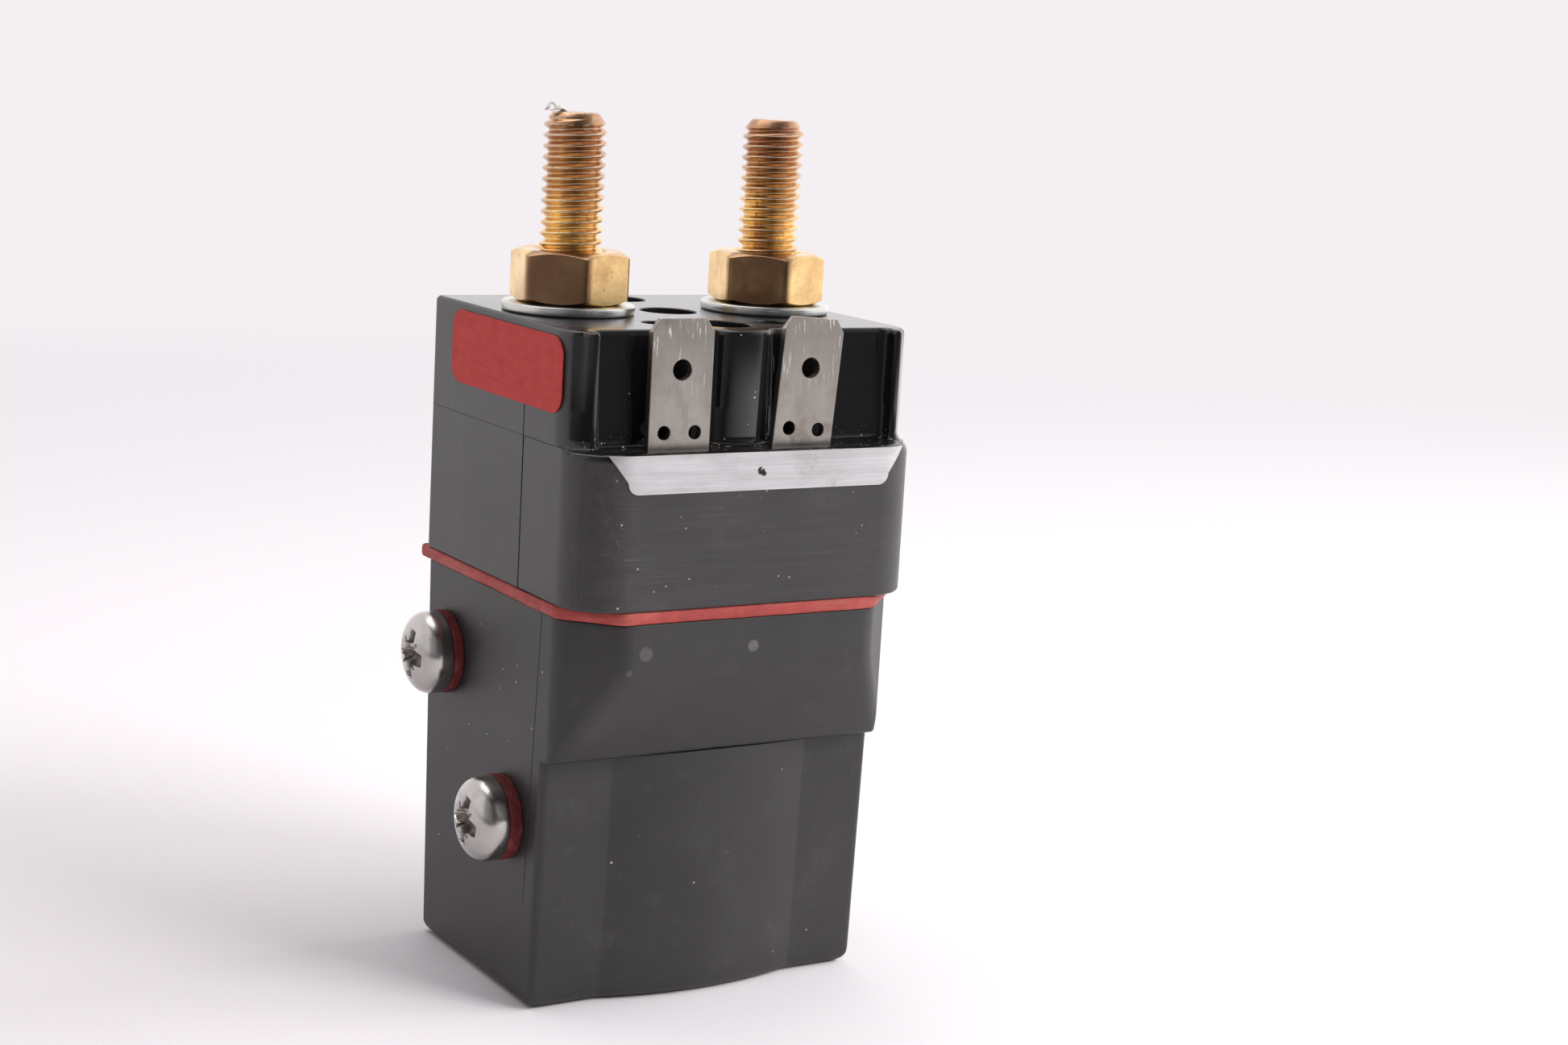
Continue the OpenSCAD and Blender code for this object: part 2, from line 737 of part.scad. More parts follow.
// Lead wire from the winding forward, up in front of the pole plate and on to the back of its tab
module coil_lead(s) {
    x = s * tab_pitch / 2;
    start_y = axis_y - sqrt(winding_r * winding_r - x * x) - lead_r - fit;
    color("#b9402f") {
        translate([x, start_y, lead_z]) rotate([90, 0, 0])
            cylinder(r = lead_r, h = start_y - lead_y, $fn = round_fn);
        translate([x, lead_y, lead_z]) sphere(r = lead_r, $fn = round_fn);
        post(x, lead_y, lead_z, lead_top, lead_r);
        translate([x, lead_y, lead_top]) sphere(r = lead_r, $fn = round_fn);
        translate([x, lead_y, lead_top]) rotate([90, 0, 0])
            cylinder(r = lead_r, h = lead_y - blade_y - tab_t / 2, $fn = round_fn);
    }
}

module left_coil_lead() { coil_lead(-1); }

module right_coil_lead() { coil_lead(1); }

contact_housing();
front_shell();
coil_cover();
sealing_gasket();
left_stud();
right_stud();
stud_nuts();
stud_washers();
left_coil_tab();
right_coil_tab();
rating_sticker();
front_foil_label();
side_screws();
fibre_washers();
housing_screws();
fixed_contact_tips();
contact_bridge();
moving_contact_tips();
contact_spring();
spring_collar();
bridge_clip();
push_rod();
plunger();
return_spring();
guide_tube();
fixed_pole();
yoke_frame();
pole_plate();
coil_bobbin();
coil_winding();
left_coil_lead();
right_coil_lead();
plunger_pad();
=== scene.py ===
"""Looks of a single-pole DC contactor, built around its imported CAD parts.

The file is laid out as an add-on: the property groups hold the sizes and colours, each operator makes one
piece or a group of like pieces, and main() runs them in order. Every new piece is a surface worked out with
numpy: a closed outline carried through a list of heights, or a grid of two parameters. Lengths are in metres.
"""

import math

import bmesh
import bpy
import numpy as np
from bpy.props import FloatProperty, FloatVectorProperty, PointerProperty
from mathutils import Matrix, Vector
from mathutils.geometry import tessellate_polygon


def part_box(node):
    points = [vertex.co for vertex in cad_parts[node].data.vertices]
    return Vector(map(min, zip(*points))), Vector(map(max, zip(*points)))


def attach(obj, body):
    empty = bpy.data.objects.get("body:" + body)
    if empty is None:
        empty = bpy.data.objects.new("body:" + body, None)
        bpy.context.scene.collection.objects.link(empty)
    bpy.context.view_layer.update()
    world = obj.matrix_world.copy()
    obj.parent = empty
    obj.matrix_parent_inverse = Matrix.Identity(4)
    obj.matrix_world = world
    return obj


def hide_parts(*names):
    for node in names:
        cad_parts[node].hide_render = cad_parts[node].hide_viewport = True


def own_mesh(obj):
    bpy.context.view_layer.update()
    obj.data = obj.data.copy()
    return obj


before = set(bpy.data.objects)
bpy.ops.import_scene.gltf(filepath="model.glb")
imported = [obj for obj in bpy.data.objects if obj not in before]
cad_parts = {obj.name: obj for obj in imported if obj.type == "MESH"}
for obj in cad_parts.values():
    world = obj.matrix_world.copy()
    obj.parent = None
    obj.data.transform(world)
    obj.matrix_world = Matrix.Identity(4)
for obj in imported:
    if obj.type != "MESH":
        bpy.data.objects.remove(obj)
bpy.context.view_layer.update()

bl_info = {
    "name": "DC contactor looks",
    "version": (1, 0, 0),
    "blender": (4, 5, 0),
    "location": "View3D > Sidebar > Contactor",
    "description": "Moulded shells, threads, nuts, tabs and finishes of a DC contactor",
    "category": "Object",
}

MM = 0.001


def length(name, description, default_mm):
    """A length property, written in millimetres here and held in metres."""
    return FloatProperty(name=name, description=description, default=default_mm * MM, unit="LENGTH",
                         subtype="DISTANCE", precision=5)


def colour(name, description, default):
    """A colour property, as linear red, green and blue."""
    return FloatVectorProperty(name=name, description=description, default=default, size=3, min=0.0, max=1.0,
                               subtype="COLOR")


def box(node):
    """Lowest and highest corner of a CAD node, as two numpy arrays in metres."""
    low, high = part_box(node)
    return np.array(low), np.array(high)


HOUSING_HIGH = box("contact_housing")[1]
SHELL_LOW, SHELL_HIGH = box("front_shell")
COVER_LOW, COVER_HIGH = box("coil_cover")
STUD_LOW, STUD_HIGH = box("left_stud")
NUT_LOW, NUT_HIGH = box("stud_nuts")
TAB_LOW, TAB_HIGH = box("left_coil_tab")
# Size of the photograph in pixels, and width of the camera's sensor in millimetres
RENDER_SIZE = (1946, 1297)
SENSOR = 36.0
# Height of the shelf: the labels' top edge stands just under it
SHELF = 53.4 * MM
# Half width of a blade tab, and the height about which the right one leans
TAB_HALF, TAB_PIVOT = 3.15 * MM, 52.65 * MM
# Place in y from which the rays to the cover's outline start
COVER_MIDDLE = 2.0 * MM
# A point this close to a plane counts as on it
TOUCH = 0.001 * MM
# Attribute that takes a number from each point to the materials: 1 is glossy on the black mouldings, whose glossy
# parts are also painted darker as painted shade; on the nuts it marks the flat with painted shade
MASK = "finish_mask"
TOP_GLOSS, SHELF_GLOSS = 0.72, 0.8

NODE_GROUPS = {}
MATERIALS = {}
# Finishes of inner parts: name, colour, roughness, metallic and the scale of wound lines
PLAIN_FINISHES = {
    "silver": ("contact_silver", (0.75, 0.75, 0.72), 0.3, 1.0),
    "copper": ("bridge_copper", (0.72, 0.38, 0.22), 0.35, 1.0),
    "spring": ("spring_steel", (0.5, 0.5, 0.5), 0.3, 1.0),
    "iron": ("yoke_iron", (0.42, 0.42, 0.44), 0.4, 1.0),
    "bobbin": ("bobbin_nylon", (0.62, 0.58, 0.5), 0.5),
    "winding": ("winding_enamel", (0.42, 0.12, 0.05), 0.3, 0.0, 2200.0),
    "lead": ("lead_sleeve", (0.5, 0.06, 0.04), 0.5),
    "rubber": ("pad_rubber", (0.02, 0.02, 0.02), 0.7),
    "flake": ("clear_residue", (0.78, 0.77, 0.76), 0.25),
}
# Nodes that keep the CAD's own mesh, by finish
CAD_FINISHES = {
    "silver": ("fixed_contact_tips", "moving_contact_tips"),
    "copper": ("contact_bridge",),
    "iron": ("plunger", "fixed_pole", "yoke_frame", "pole_plate", "spring_collar", "bridge_clip"),
    "steel": ("housing_screws",),
    "thread": ("push_rod", "guide_tube"),
    "bobbin": ("coil_bobbin",),
    "winding": ("coil_winding",),
    "lead": ("left_coil_lead", "right_coil_lead"),
    "rubber": ("plunger_pad",),
    "sticker": ("rating_sticker",),
    "foil": ("front_foil_label",),
}
# Light of the reflector cards at angles round the object, low down and higher up: -90 is in front of the
# object, and 0 to its right
CARD_ANGLES = (-180, -165, -135, -112, -98, -75, -50, -42, -37, -13, -6, 20, 60, 120, 160, 180)
CARD_LIGHT = (0.45, 0.05, 0.03, 0.1, 0.5, 1.3, 2.0, 2.0, 1.8, 1.4, 1.3, 1.4, 1.2, 1.0, 0.8, 0.45)
CARD_HIGH = (1.1, 0.5, 0.3, 0.1, 0.1, 0.12, 0.14, 0.5, 0.9, 1.4, 1.3, 1.4, 1.2, 1.1, 1.0, 1.1)


class HousingSizes(bpy.types.PropertyGroup):
    edge: length("Top edge", "Rounding of the housing's top edges", 0.5)
    foot: length("Recess foot", "Fillet between the recess walls and the shelf", 0.8)
    corner: length("Inner corner", "Rounding of the recess's upright inner corners", 0.85)
    boss_join: length("Boss join", "Rounding where the boss meets the recess wall", 1.0)
    rib_round: length("Rib rounding", "Rounding of the ribs' outer edges at the sides", 4.5)
    wedge: length("Rib edge", "Rounding of the ribs' front edges", 0.45)
    back: length("Back corner", "Rounding of the upright back corners", 1.0)
    shelf_edge: length("Shelf edge", "Rounding of the shelf's front edge", 0.8)
    groove: length("Joint groove", "Width of the joint between the housing and its front shell", 0.2)
    recess: length("Recess depth", "Depth of the terminal recess", 4.0)
    rib: length("Rib width", "Width of the ribs beside the recess", 2.55)
    cut: length("Corner cut", "Cut across the front corners above the shelf", 4.6)
    bend: length("Corner radius", "Radius of the front corners below the shelf", 4.9)
    lean: length("Recess draft", "Depth by which the recess walls lean back at the top", 0.55)
    boss: length("Boss radius", "Radius of the boss in the middle of the recess", 5.6)
    low_edge: length("Lower edge", "Rounding of the lower edges at the gasket", 0.3)
    slot_depth: length("Slot depth", "Depth of the slots that the tabs stand in", 1.5)
    well: length("Well radius", "Radius of the screw wells", 2.75)
    well_depth: length("Well depth", "Depth of the front and rear wells", 12.0)
    middle_depth: length("Middle well depth", "Depth of the well over the push rod", 8.25)
    core: length("Core radius", "Radius of the two small core holes", 1.45)
    core_depth: length("Core depth", "Depth of the core holes", 7.5)
    core_x: length("Core distance", "Distance of the core holes from the middle plane", 6.23)
    core_y: length("Core place", "Place of the core holes from front to back", -6.94)


class CoverSizes(bpy.types.PropertyGroup):
    edge: length("Upright edges", "Rounding of the upright edges", 0.7)
    base_edge: length("Base edge", "Rounding of the base's edge", 1.2)
    lip: length("Lip height", "Height of the lip", 24.2)
    lip_front: length("Lip depth", "Distance of the lip in front of the middle", 11.8)
    lip_edge: length("Lip edge", "Rounding of the lip's edge", 0.8)
    bend: length("Bend height", "Height at which the sloped front becomes upright", 33.0)
    bend_radius: length("Bend radius", "Radius of that bend", 4.0)
    base_front: length("Base depth in front", "Distance of the base's front edge from the middle", 9.5)
    base_back: length("Base depth behind", "Distance of the base's back edge from the middle", 15.3)
    draft: length("Draft", "Depth by which the front and back lean out over the height", 1.2)
    swell_radius: length("Swelling radius", "Radius of the swelling in the front wall", 35.7)
    swell_half: length("Swelling half width", "Half width of that swelling", 10.4)
    wall: length("Wall", "Thickness of the cover's wall", 1.5)
    front: length("Upper depth in front", "Distance of the upright front from the middle", 16.4)
    cut: length("Corner cut", "Cut across the front corners", 4.6)


class MetalSizes(bpy.types.PropertyGroup):
    pitch: length("Thread pitch", "Pitch of the studs' thread", 1.0)
    root: length("Root radius", "Radius at the bottom of the thread", 2.47)
    crest: length("Crest radius", "Radius at the top of the thread", 2.98)
    nut_chamfer: FloatProperty(name="Nut chamfer", description="Slope of the nuts' chamfers",
                               default=math.radians(27), subtype="ANGLE", unit="ROTATION")
    tab_edge: length("Tab edge", "Rounding of the tabs' edges", 0.07)
    tab_lean: FloatProperty(name="Tab lean", description="Lean of the right tab",
                            default=math.radians(4.2), subtype="ANGLE", unit="ROTATION")
    pan_radius: length("Head radius", "Radius of the side screws' heads", 4.0)
    pan_height: length("Head height", "Height of the side screws' heads", 3.1)
    fibre_thick: length("Fibre washer", "Thickness of the fibre washers", 1.0)
    recess_depth: length("Recess depth", "Depth of the cross recess in the side screws", 1.7)
    gasket_wave: length("Gasket wave", "Unevenness of the gasket's edge", 0.1)


class Finishes(bpy.types.PropertyGroup):
    housing: colour("Housing", "Satin black moulding of the contact housing", (0.024, 0.0225, 0.0235))
    cover: colour("Cover", "Matte dark grey moulding of the coil cover", (0.019, 0.018, 0.019))
    gasket: colour("Gasket", "Red rubber of the gasket", (0.45, 0.075, 0.064))
    fibre: colour("Fibre", "Red fibre of the side screws' washers", (0.17, 0.024, 0.024))
    sticker: colour("Sticker", "Red paper of the rating sticker", (0.53, 0.044, 0.036))
    foil: colour("Foil", "Brushed foil of the front label", (0.54, 0.53, 0.54))
    brass: colour("Brass", "Rolled brass of the studs and nuts", (0.90, 0.64, 0.29))
    zinc: colour("Zinc", "Zinc plating of the washers", (0.62, 0.65, 0.66))
    tin: colour("Tab metal", "Tinned brass of the blade tabs", (0.38, 0.355, 0.33))
    steel: colour("Steel", "Bright steel of the screws", (0.52, 0.495, 0.475))


class StageSizes(bpy.types.PropertyGroup):
    distance: length("Camera distance", "Distance of the camera from its target", 259.61)
    focal_px: FloatProperty(name="Focal length", description="Focal length in pixels of the photograph",
                            default=3251.88, min=100.0)
    ground: colour("Ground", "Pale paper under and behind the object", (0.905, 0.865, 0.89))
    lamp: FloatProperty(name="Lamp level", description="Brightness of the soft lamps", default=1.0, min=0.0)


def share_of(value, band):
    """Share from 0 to 1 that a value makes of a band."""
    return np.clip(value / band, 0, 1)


def settings(group):
    """The property group of that name on the scene."""
    return getattr(bpy.context.scene, group)


def faded(tone, share):
    """A tone made darker or lighter by a share, with no part over 1."""
    return tuple(min(part * share, 1.0) for part in tone)


# Outlines and surfaces

def corner_arc(point, before, after, radius, steps):
    """Arc that rounds the corner at a point between two unit directions, in the plane.

    With the inner angle a, the arc starts radius / tan(a/2) before the corner, and its centre is
    radius / sin(a/2) from the corner along the bisector."""
    half = math.acos(float(np.clip(before @ after, -1, 1))) / 2
    centre = point + (before + after) / np.linalg.norm(before + after) * radius / math.sin(half)
    start, end = (point + way * radius / math.tan(half) - centre for way in (before, after))
    t = np.linspace(0, math.atan2(start[0] * end[1] - start[1] * end[0], start @ end), steps)
    return centre + np.stack([start[0] * np.cos(t) - start[1] * np.sin(t),
                              start[0] * np.sin(t) + start[1] * np.cos(t)], 1)


def rounded_outline(points, radii, steps=7):
    """Closed outline with a round corner of its own radius at each point; zero keeps the corner sharp."""
    points = np.asarray(points, float)
    ways = [np.roll(points, shift, 0) - points for shift in (1, -1)]
    before, after = (way / np.linalg.norm(way, axis=1)[:, None] for way in ways)
    return np.concatenate([corner_arc(p, a, b, r, steps) if r > 0 else p[None]
                           for p, a, b, r in zip(points, before, after, radii)])


def outline_normals(loop):
    """Outward mitred normal at each point of a closed counter-clockwise outline: the sum of the two edges'
    unit normals over one plus their dot product."""
    edge = np.roll(loop, -1, 0) - loop
    normal = np.stack([edge[:, 1], -edge[:, 0]], 1)
    normal /= np.maximum(np.linalg.norm(normal, axis=1), 1e-12)[:, None]
    other = np.roll(normal, 1, 0)
    return (normal + other) / np.maximum(1 + (normal * other).sum(1), 0.25)[:, None]


def per_point(rows, points):
    """Number for each row and point, from one a row or one for each row and point."""
    return np.asarray(rows, float).reshape(len(rows), -1) + np.zeros(len(points))


def table_columns(rows, points):
    """Columns of a table whose entries are one number, or one for each point."""
    return [np.stack([entry + np.zeros(len(points)) for entry in column]) for column in zip(*rows)]


def carried(loop, offsets, heights):
    """Closed outline carried through heights: row k is loop + normal * offsets[k], at heights[k].
    Offsets and heights are one number a row, or one for each row and point."""
    plan = loop + outline_normals(loop) * per_point(offsets, loop)[..., None]
    return np.concatenate([plan, per_point(heights, loop)[..., None]], 2)


def moved(loop, distance):
    """Closed outline moved outwards by a distance."""
    return loop + outline_normals(loop) * distance


def mirrored(rows):
    """Rows of x, y and rounding, followed by their mirror images in reverse order."""
    return rows + [(-x, y, r) for x, y, r in reversed(rows)]


def quarter(radius, steps):
    """Cosine and sine of a quarter turn times radius, for a rounded edge's rows."""
    t = np.radians(np.linspace(0, 90, steps))
    return radius * np.cos(t), radius * np.sin(t)


def round_angles(count):
    """Angles of points spread evenly round a circle."""
    return np.linspace(0, 2 * math.pi, count, endpoint=False)


def rings(centre, angle, radii, levels):
    """Rings about an upright axis: row k is centre + radii[k] * (cos angle, sin angle) at levels[k].
    Radii and levels are one number a row, or one for each row and angle."""
    radii, levels = per_point(radii, angle), per_point(levels, angle)
    return np.stack([centre[0] + radii * np.cos(angle), centre[1] + radii * np.sin(angle), levels], -1)


def rings_about_x(centre, angle, radii, levels):
    """The same rings about an axis along x, with the centre in y and z and the levels along x."""
    return np.roll(rings(centre, angle, radii, levels), 1, -1)


def circle(x, y, radius, count=40):
    """Clockwise circle, for the edge of a hole."""
    return rings((x, y), -round_angles(count), [radius], [0])[0, :, :2]


def grid_faces(rows, columns, closed=True, start=0):
    """Faces of a grid of rows by columns; the columns close on themselves where closed is true."""
    i = np.arange(rows - 1)[:, None]
    j = np.arange(columns if closed else columns - 1)[None]
    k = (j + 1) % columns
    quads = np.stack(np.broadcast_arrays(i * columns + j, i * columns + k,
                                         (i + 1) * columns + k, (i + 1) * columns + j), -1)
    return quads.reshape(-1, 4) + start


class Sheet:
    """Points, faces and one number a point, gathered from several surfaces before they become one mesh."""

    def __init__(self):
        self.points, self.faces, self.mask, self.count = [], [], [], 0

    def add(self, points, mask=0.0):
        self.points.append(points)
        self.mask.append(np.broadcast_to(mask, len(points)))
        self.count += len(points)

    def grid(self, points, closed=True, mask=0.0):
        """Surface through rows of points."""
        rows, columns = points.shape[:2]
        self.faces += grid_faces(rows, columns, closed, self.count).tolist()
        self.add(points.reshape(-1, 3), np.broadcast_to(mask, points.shape[:2]).reshape(-1))

    def cap(self, loops, height, mask=0.0):
        """Flat face between an outer outline and the holes in it."""
        flat = np.concatenate([loop[:, :2] for loop in loops])
        triangles = tessellate_polygon([[Vector((x, y, 0)) for x, y in loop[:, :2]] for loop in loops])
        self.faces += [[a + self.count for a in t] for t in triangles]
        self.add(np.column_stack([flat, np.full(len(flat), height)]), mask)

    def fan(self, ring, centre):
        """Triangles from a ring of points to one point."""
        n = len(ring)
        i = np.arange(n)
        self.faces += (np.stack([i, (i + 1) % n, np.full(n, n)], 1) + self.count).tolist()
        self.add(np.vstack([ring, centre]))

    def object(self, name, material, sharp=38.0, weighted=True):
        """Mesh object at the origin, with doubles merged, faces outwards and hard edges over the angle."""
        mesh = bpy.data.meshes.new(name)
        mesh.from_pydata(np.concatenate(self.points).tolist(), [], self.faces)
        layer = mesh.attributes.new(MASK, "FLOAT", "POINT")
        layer.data.foreach_set("value", np.concatenate(self.mask).astype(np.float32))
        work = bmesh.new()
        work.from_mesh(mesh)
        bmesh.ops.remove_doubles(work, verts=work.verts, dist=2e-6)
        bmesh.ops.dissolve_degenerate(work, edges=work.edges, dist=1e-7)
        bmesh.ops.recalc_face_normals(work, faces=work.faces)
        work.to_mesh(mesh)
        work.free()
        mesh.shade_smooth()
        mesh.set_sharp_from_angle(angle=math.radians(sharp))
        mesh.materials.append(material)
        made = bpy.data.objects.new(name, mesh)
        bpy.context.scene.collection.objects.link(made)
        if weighted:
            made.modifiers.new("Even shading", "WEIGHTED_NORMAL").keep_sharp = True
        return made


def settle(piece, body, slot, *nodes):
    """Lets a finished piece ride on its body and stand for its CAD nodes, which it hides."""
    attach(piece, body)
    if nodes:
        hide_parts(*nodes)
    return piece


# Shader nodes

class Value:
    """Output of a shader node, for use in formulas: a sum, difference or product becomes a Math node."""

    def __init__(self, tree, socket):
        self.tree, self.socket = tree, socket

    def __add__(self, other):
        return self.tree.math("ADD", self, other)

    def __sub__(self, other):
        return self.tree.math("SUBTRACT", self, other)

    def __rsub__(self, other):
        return self.tree.math("SUBTRACT", other, self)

    def __mul__(self, other):
        return self.tree.math("MULTIPLY", self, other)

    def __abs__(self):
        return self.tree.math("ABSOLUTE", self)

    def clamped(self):
        """The same value, which its Math node now keeps between 0 and 1."""
        self.socket.node.use_clamp = True
        return self


class Tree:
    """Short way to add and link nodes in a material, a world or a group."""

    def __init__(self, tree):
        self.nodes, self.links, self.position = tree.nodes, tree.links, None

    def link(self, value, socket):
        """Feeds an input: a Value is linked, a colour gets its alpha, and a plain number is set."""
        if isinstance(value, Value):
            self.links.new(value.socket, socket)
        elif socket.type == "RGBA":
            socket.default_value = tuple(value)[:3] + (1.0,)
        else:
            socket.default_value = value

    def add(self, kind, feeds=(), **properties):
        """Node of that kind with its properties set; feeds are its inputs, in order or by name."""
        node = self.nodes.new("ShaderNode" + kind)
        for key, value in properties.items():
            setattr(node, key, value)
        return self.feed(node, feeds if isinstance(feeds, dict) else dict(enumerate(feeds)))

    def feed(self, node, feeds):
        for key, value in feeds.items():
            self.link(value, node.inputs[key])
        return node

    def value(self, kind, feeds=(), out=0, **properties):
        """One output of a new node."""
        return Value(self, self.add(kind, feeds, **properties).outputs[out])

    def math(self, operation, a, b=0.0):
        return self.value("Math", (a, b), operation=operation)

    def mix(self, factor, a, b):
        """Colour a, with colour b laid over it by the factor."""
        return self.value("Mix", {0: factor, 6: a, 7: b}, 2, data_type="RGBA")

    def ramp(self, factor, low, high, out_low=0.0, out_high=1.0):
        return self.value("MapRange", (factor, low, high, out_low, out_high), clamp=True)

    def mapped(self, scale=(1, 1, 1), rotation=(0, 0, 0)):
        """The position, turned and scaled."""
        return self.value("Mapping", {"Vector": self.position, "Scale": scale, "Rotation": rotation})

    def noise(self, scale, detail=2.0, roughness=0.5, stretch=None, rotation=(0, 0, 0), distortion=0.0):
        """Noise over the position, which may be stretched and turned first."""
        vector = self.mapped(stretch, rotation) if stretch else self.position
        return self.value("TexNoise", {"Vector": vector, "Scale": scale, "Detail": detail, "Roughness": roughness,
                                       "Distortion": distortion}, "Fac")

    def axes(self, vector=None):
        """The x, y and z of a vector, or else of the position."""
        return [Value(self, part) for part in self.add("SeparateXYZ", (vector or self.position,)).outputs]

    def mask(self):
        """The number that a Sheet gave each point."""
        return self.value("Attribute", out="Fac", attribute_name=MASK)


class Finish(Tree):
    """A material in the making, with its Principled shader and the place on the object."""

    def __init__(self, name):
        self.made = bpy.data.materials.new(name)
        self.made.use_nodes = True
        super().__init__(self.made.node_tree)
        self.shader = self.nodes["Principled BSDF"]
        self.position = self.value("TexCoord", out="Object")
        self.base = None

    def place(self, group, **feeds):
        """Outputs of a node group, laid at the place on the object unless another vector is given."""
        node = self.add("Group", {"Vector": self.position, **feeds}, node_tree=NODE_GROUPS[group])
        return [Value(self, out) for out in node.outputs]

    def specks(self, scale, share, size):
        return self.place("Specks", Scale=scale, Share=share, Size=size)[0]

    def spots(self, places):
        """Largest of several soft discs: each has its strength within 0.75 of its radius and falls to 0 at
        the radius. Places and radii are in millimetres."""
        total = None
        for place, radius, strength in places:
            away = self.value("VectorMath", (self.position, [v * MM for v in place]), "Value", operation="DISTANCE")
            disc = self.ramp(away, radius * MM, radius * 0.75 * MM, 0.0, strength)
            total = self.math("MAXIMUM", total, disc) if total else disc
        return total

    def lay(self, share, colour):
        """Lays a share of a colour over the base colour."""
        self.base = self.mix(share, self.base, colour)

    def surface(self, shader):
        """Makes this shader the material's surface."""
        self.link(shader, self.nodes["Material Output"].inputs["Surface"])
        return self.made

    def done(self, roughness, relief, strength, distance_mm, metallic=0.0):
        """Feeds the shader, with the relief as a bump of that strength and distance."""
        bump = self.value("Bump", {"Height": relief, "Strength": strength, "Distance": distance_mm * MM})
        self.feed(self.shader, {"Base Color": self.base, "Roughness": roughness, "Metallic": metallic, "Normal": bump})
        return self.made


def group(name, inputs, outputs):
    """Empty shader node group, kept under its name. It takes a vector and the named numbers, and this
    returns its Tree, the numbers as values and the inputs of its output node."""
    made = NODE_GROUPS[name] = bpy.data.node_groups.new(name, "ShaderNodeTree")
    made.interface.new_socket("Vector", in_out="INPUT", socket_type="NodeSocketVector")
    for label in inputs:
        made.interface.new_socket(label, in_out="INPUT", socket_type="NodeSocketFloat")
    for label in outputs:
        made.interface.new_socket(label, in_out="OUTPUT", socket_type="NodeSocketFloat")
    t = Tree(made)
    source = t.nodes.new("NodeGroupInput")
    t.position, *numbers = (Value(t, source.outputs[label]) for label in ("Vector",) + inputs)
    return t, numbers, t.nodes.new("NodeGroupOutput").inputs


def streaks_group():
    """Fine lines along one direction: noise stretched up to sixty times, with a few deeper scratches."""
    t, (scratches,), sink = group("Streaks", ("Scratches",), ("Lines", "Scratch"))
    fine = t.noise(90.0, 3.0, 0.6, (1, 60, 60))
    broad = t.noise(60.0, 2.0, 0.5, (1, 18, 18))
    t.link(fine * 0.6 + broad * 0.4, sink["Lines"])
    wide = t.noise(70.0, 1.0, 0.3, (1, 30, 30), (0, 0, 0.02), 0.4)
    line = t.ramp(abs(wide - 0.5), 0.006, 0.0)
    patch = t.ramp(t.noise(120.0, 1.0), 0.52, 0.66)
    t.link((line * patch * scratches).clamped(), sink["Scratch"])


def specks_group():
    """Small specks: cells of a Voronoi pattern whose random value falls under the share, drawn as dots."""
    t, (scale, share, size), sink = group("Specks", ("Scale", "Share", "Size"), ("Mask",))
    cells = t.add("TexVoronoi", {"Vector": t.position, "Scale": scale})
    split = t.add("SeparateColor", (Value(t, cells.outputs["Color"]),))
    chosen = t.math("LESS_THAN", Value(t, split.outputs[0]), share)
    dot = t.math("LESS_THAN", Value(t, cells.outputs["Distance"]), size * Value(t, split.outputs[1]))
    t.link(chosen * dot, sink["Mask"])


def scuffs_group():
    """Soft pale rubs: two noises multiplied and limited, so that they come in a few patches."""
    t, (scale, limit), sink = group("Scuffs", ("Scale", "Limit"), ("Mask",))
    big = t.noise(scale, 3.0)
    rub = t.noise(500.0, 4.0, 0.7, (6, 6, 1))
    t.link(t.ramp(big, limit, limit + 0.16) * t.ramp(rub, 0.35, 0.7), sink["Mask"])


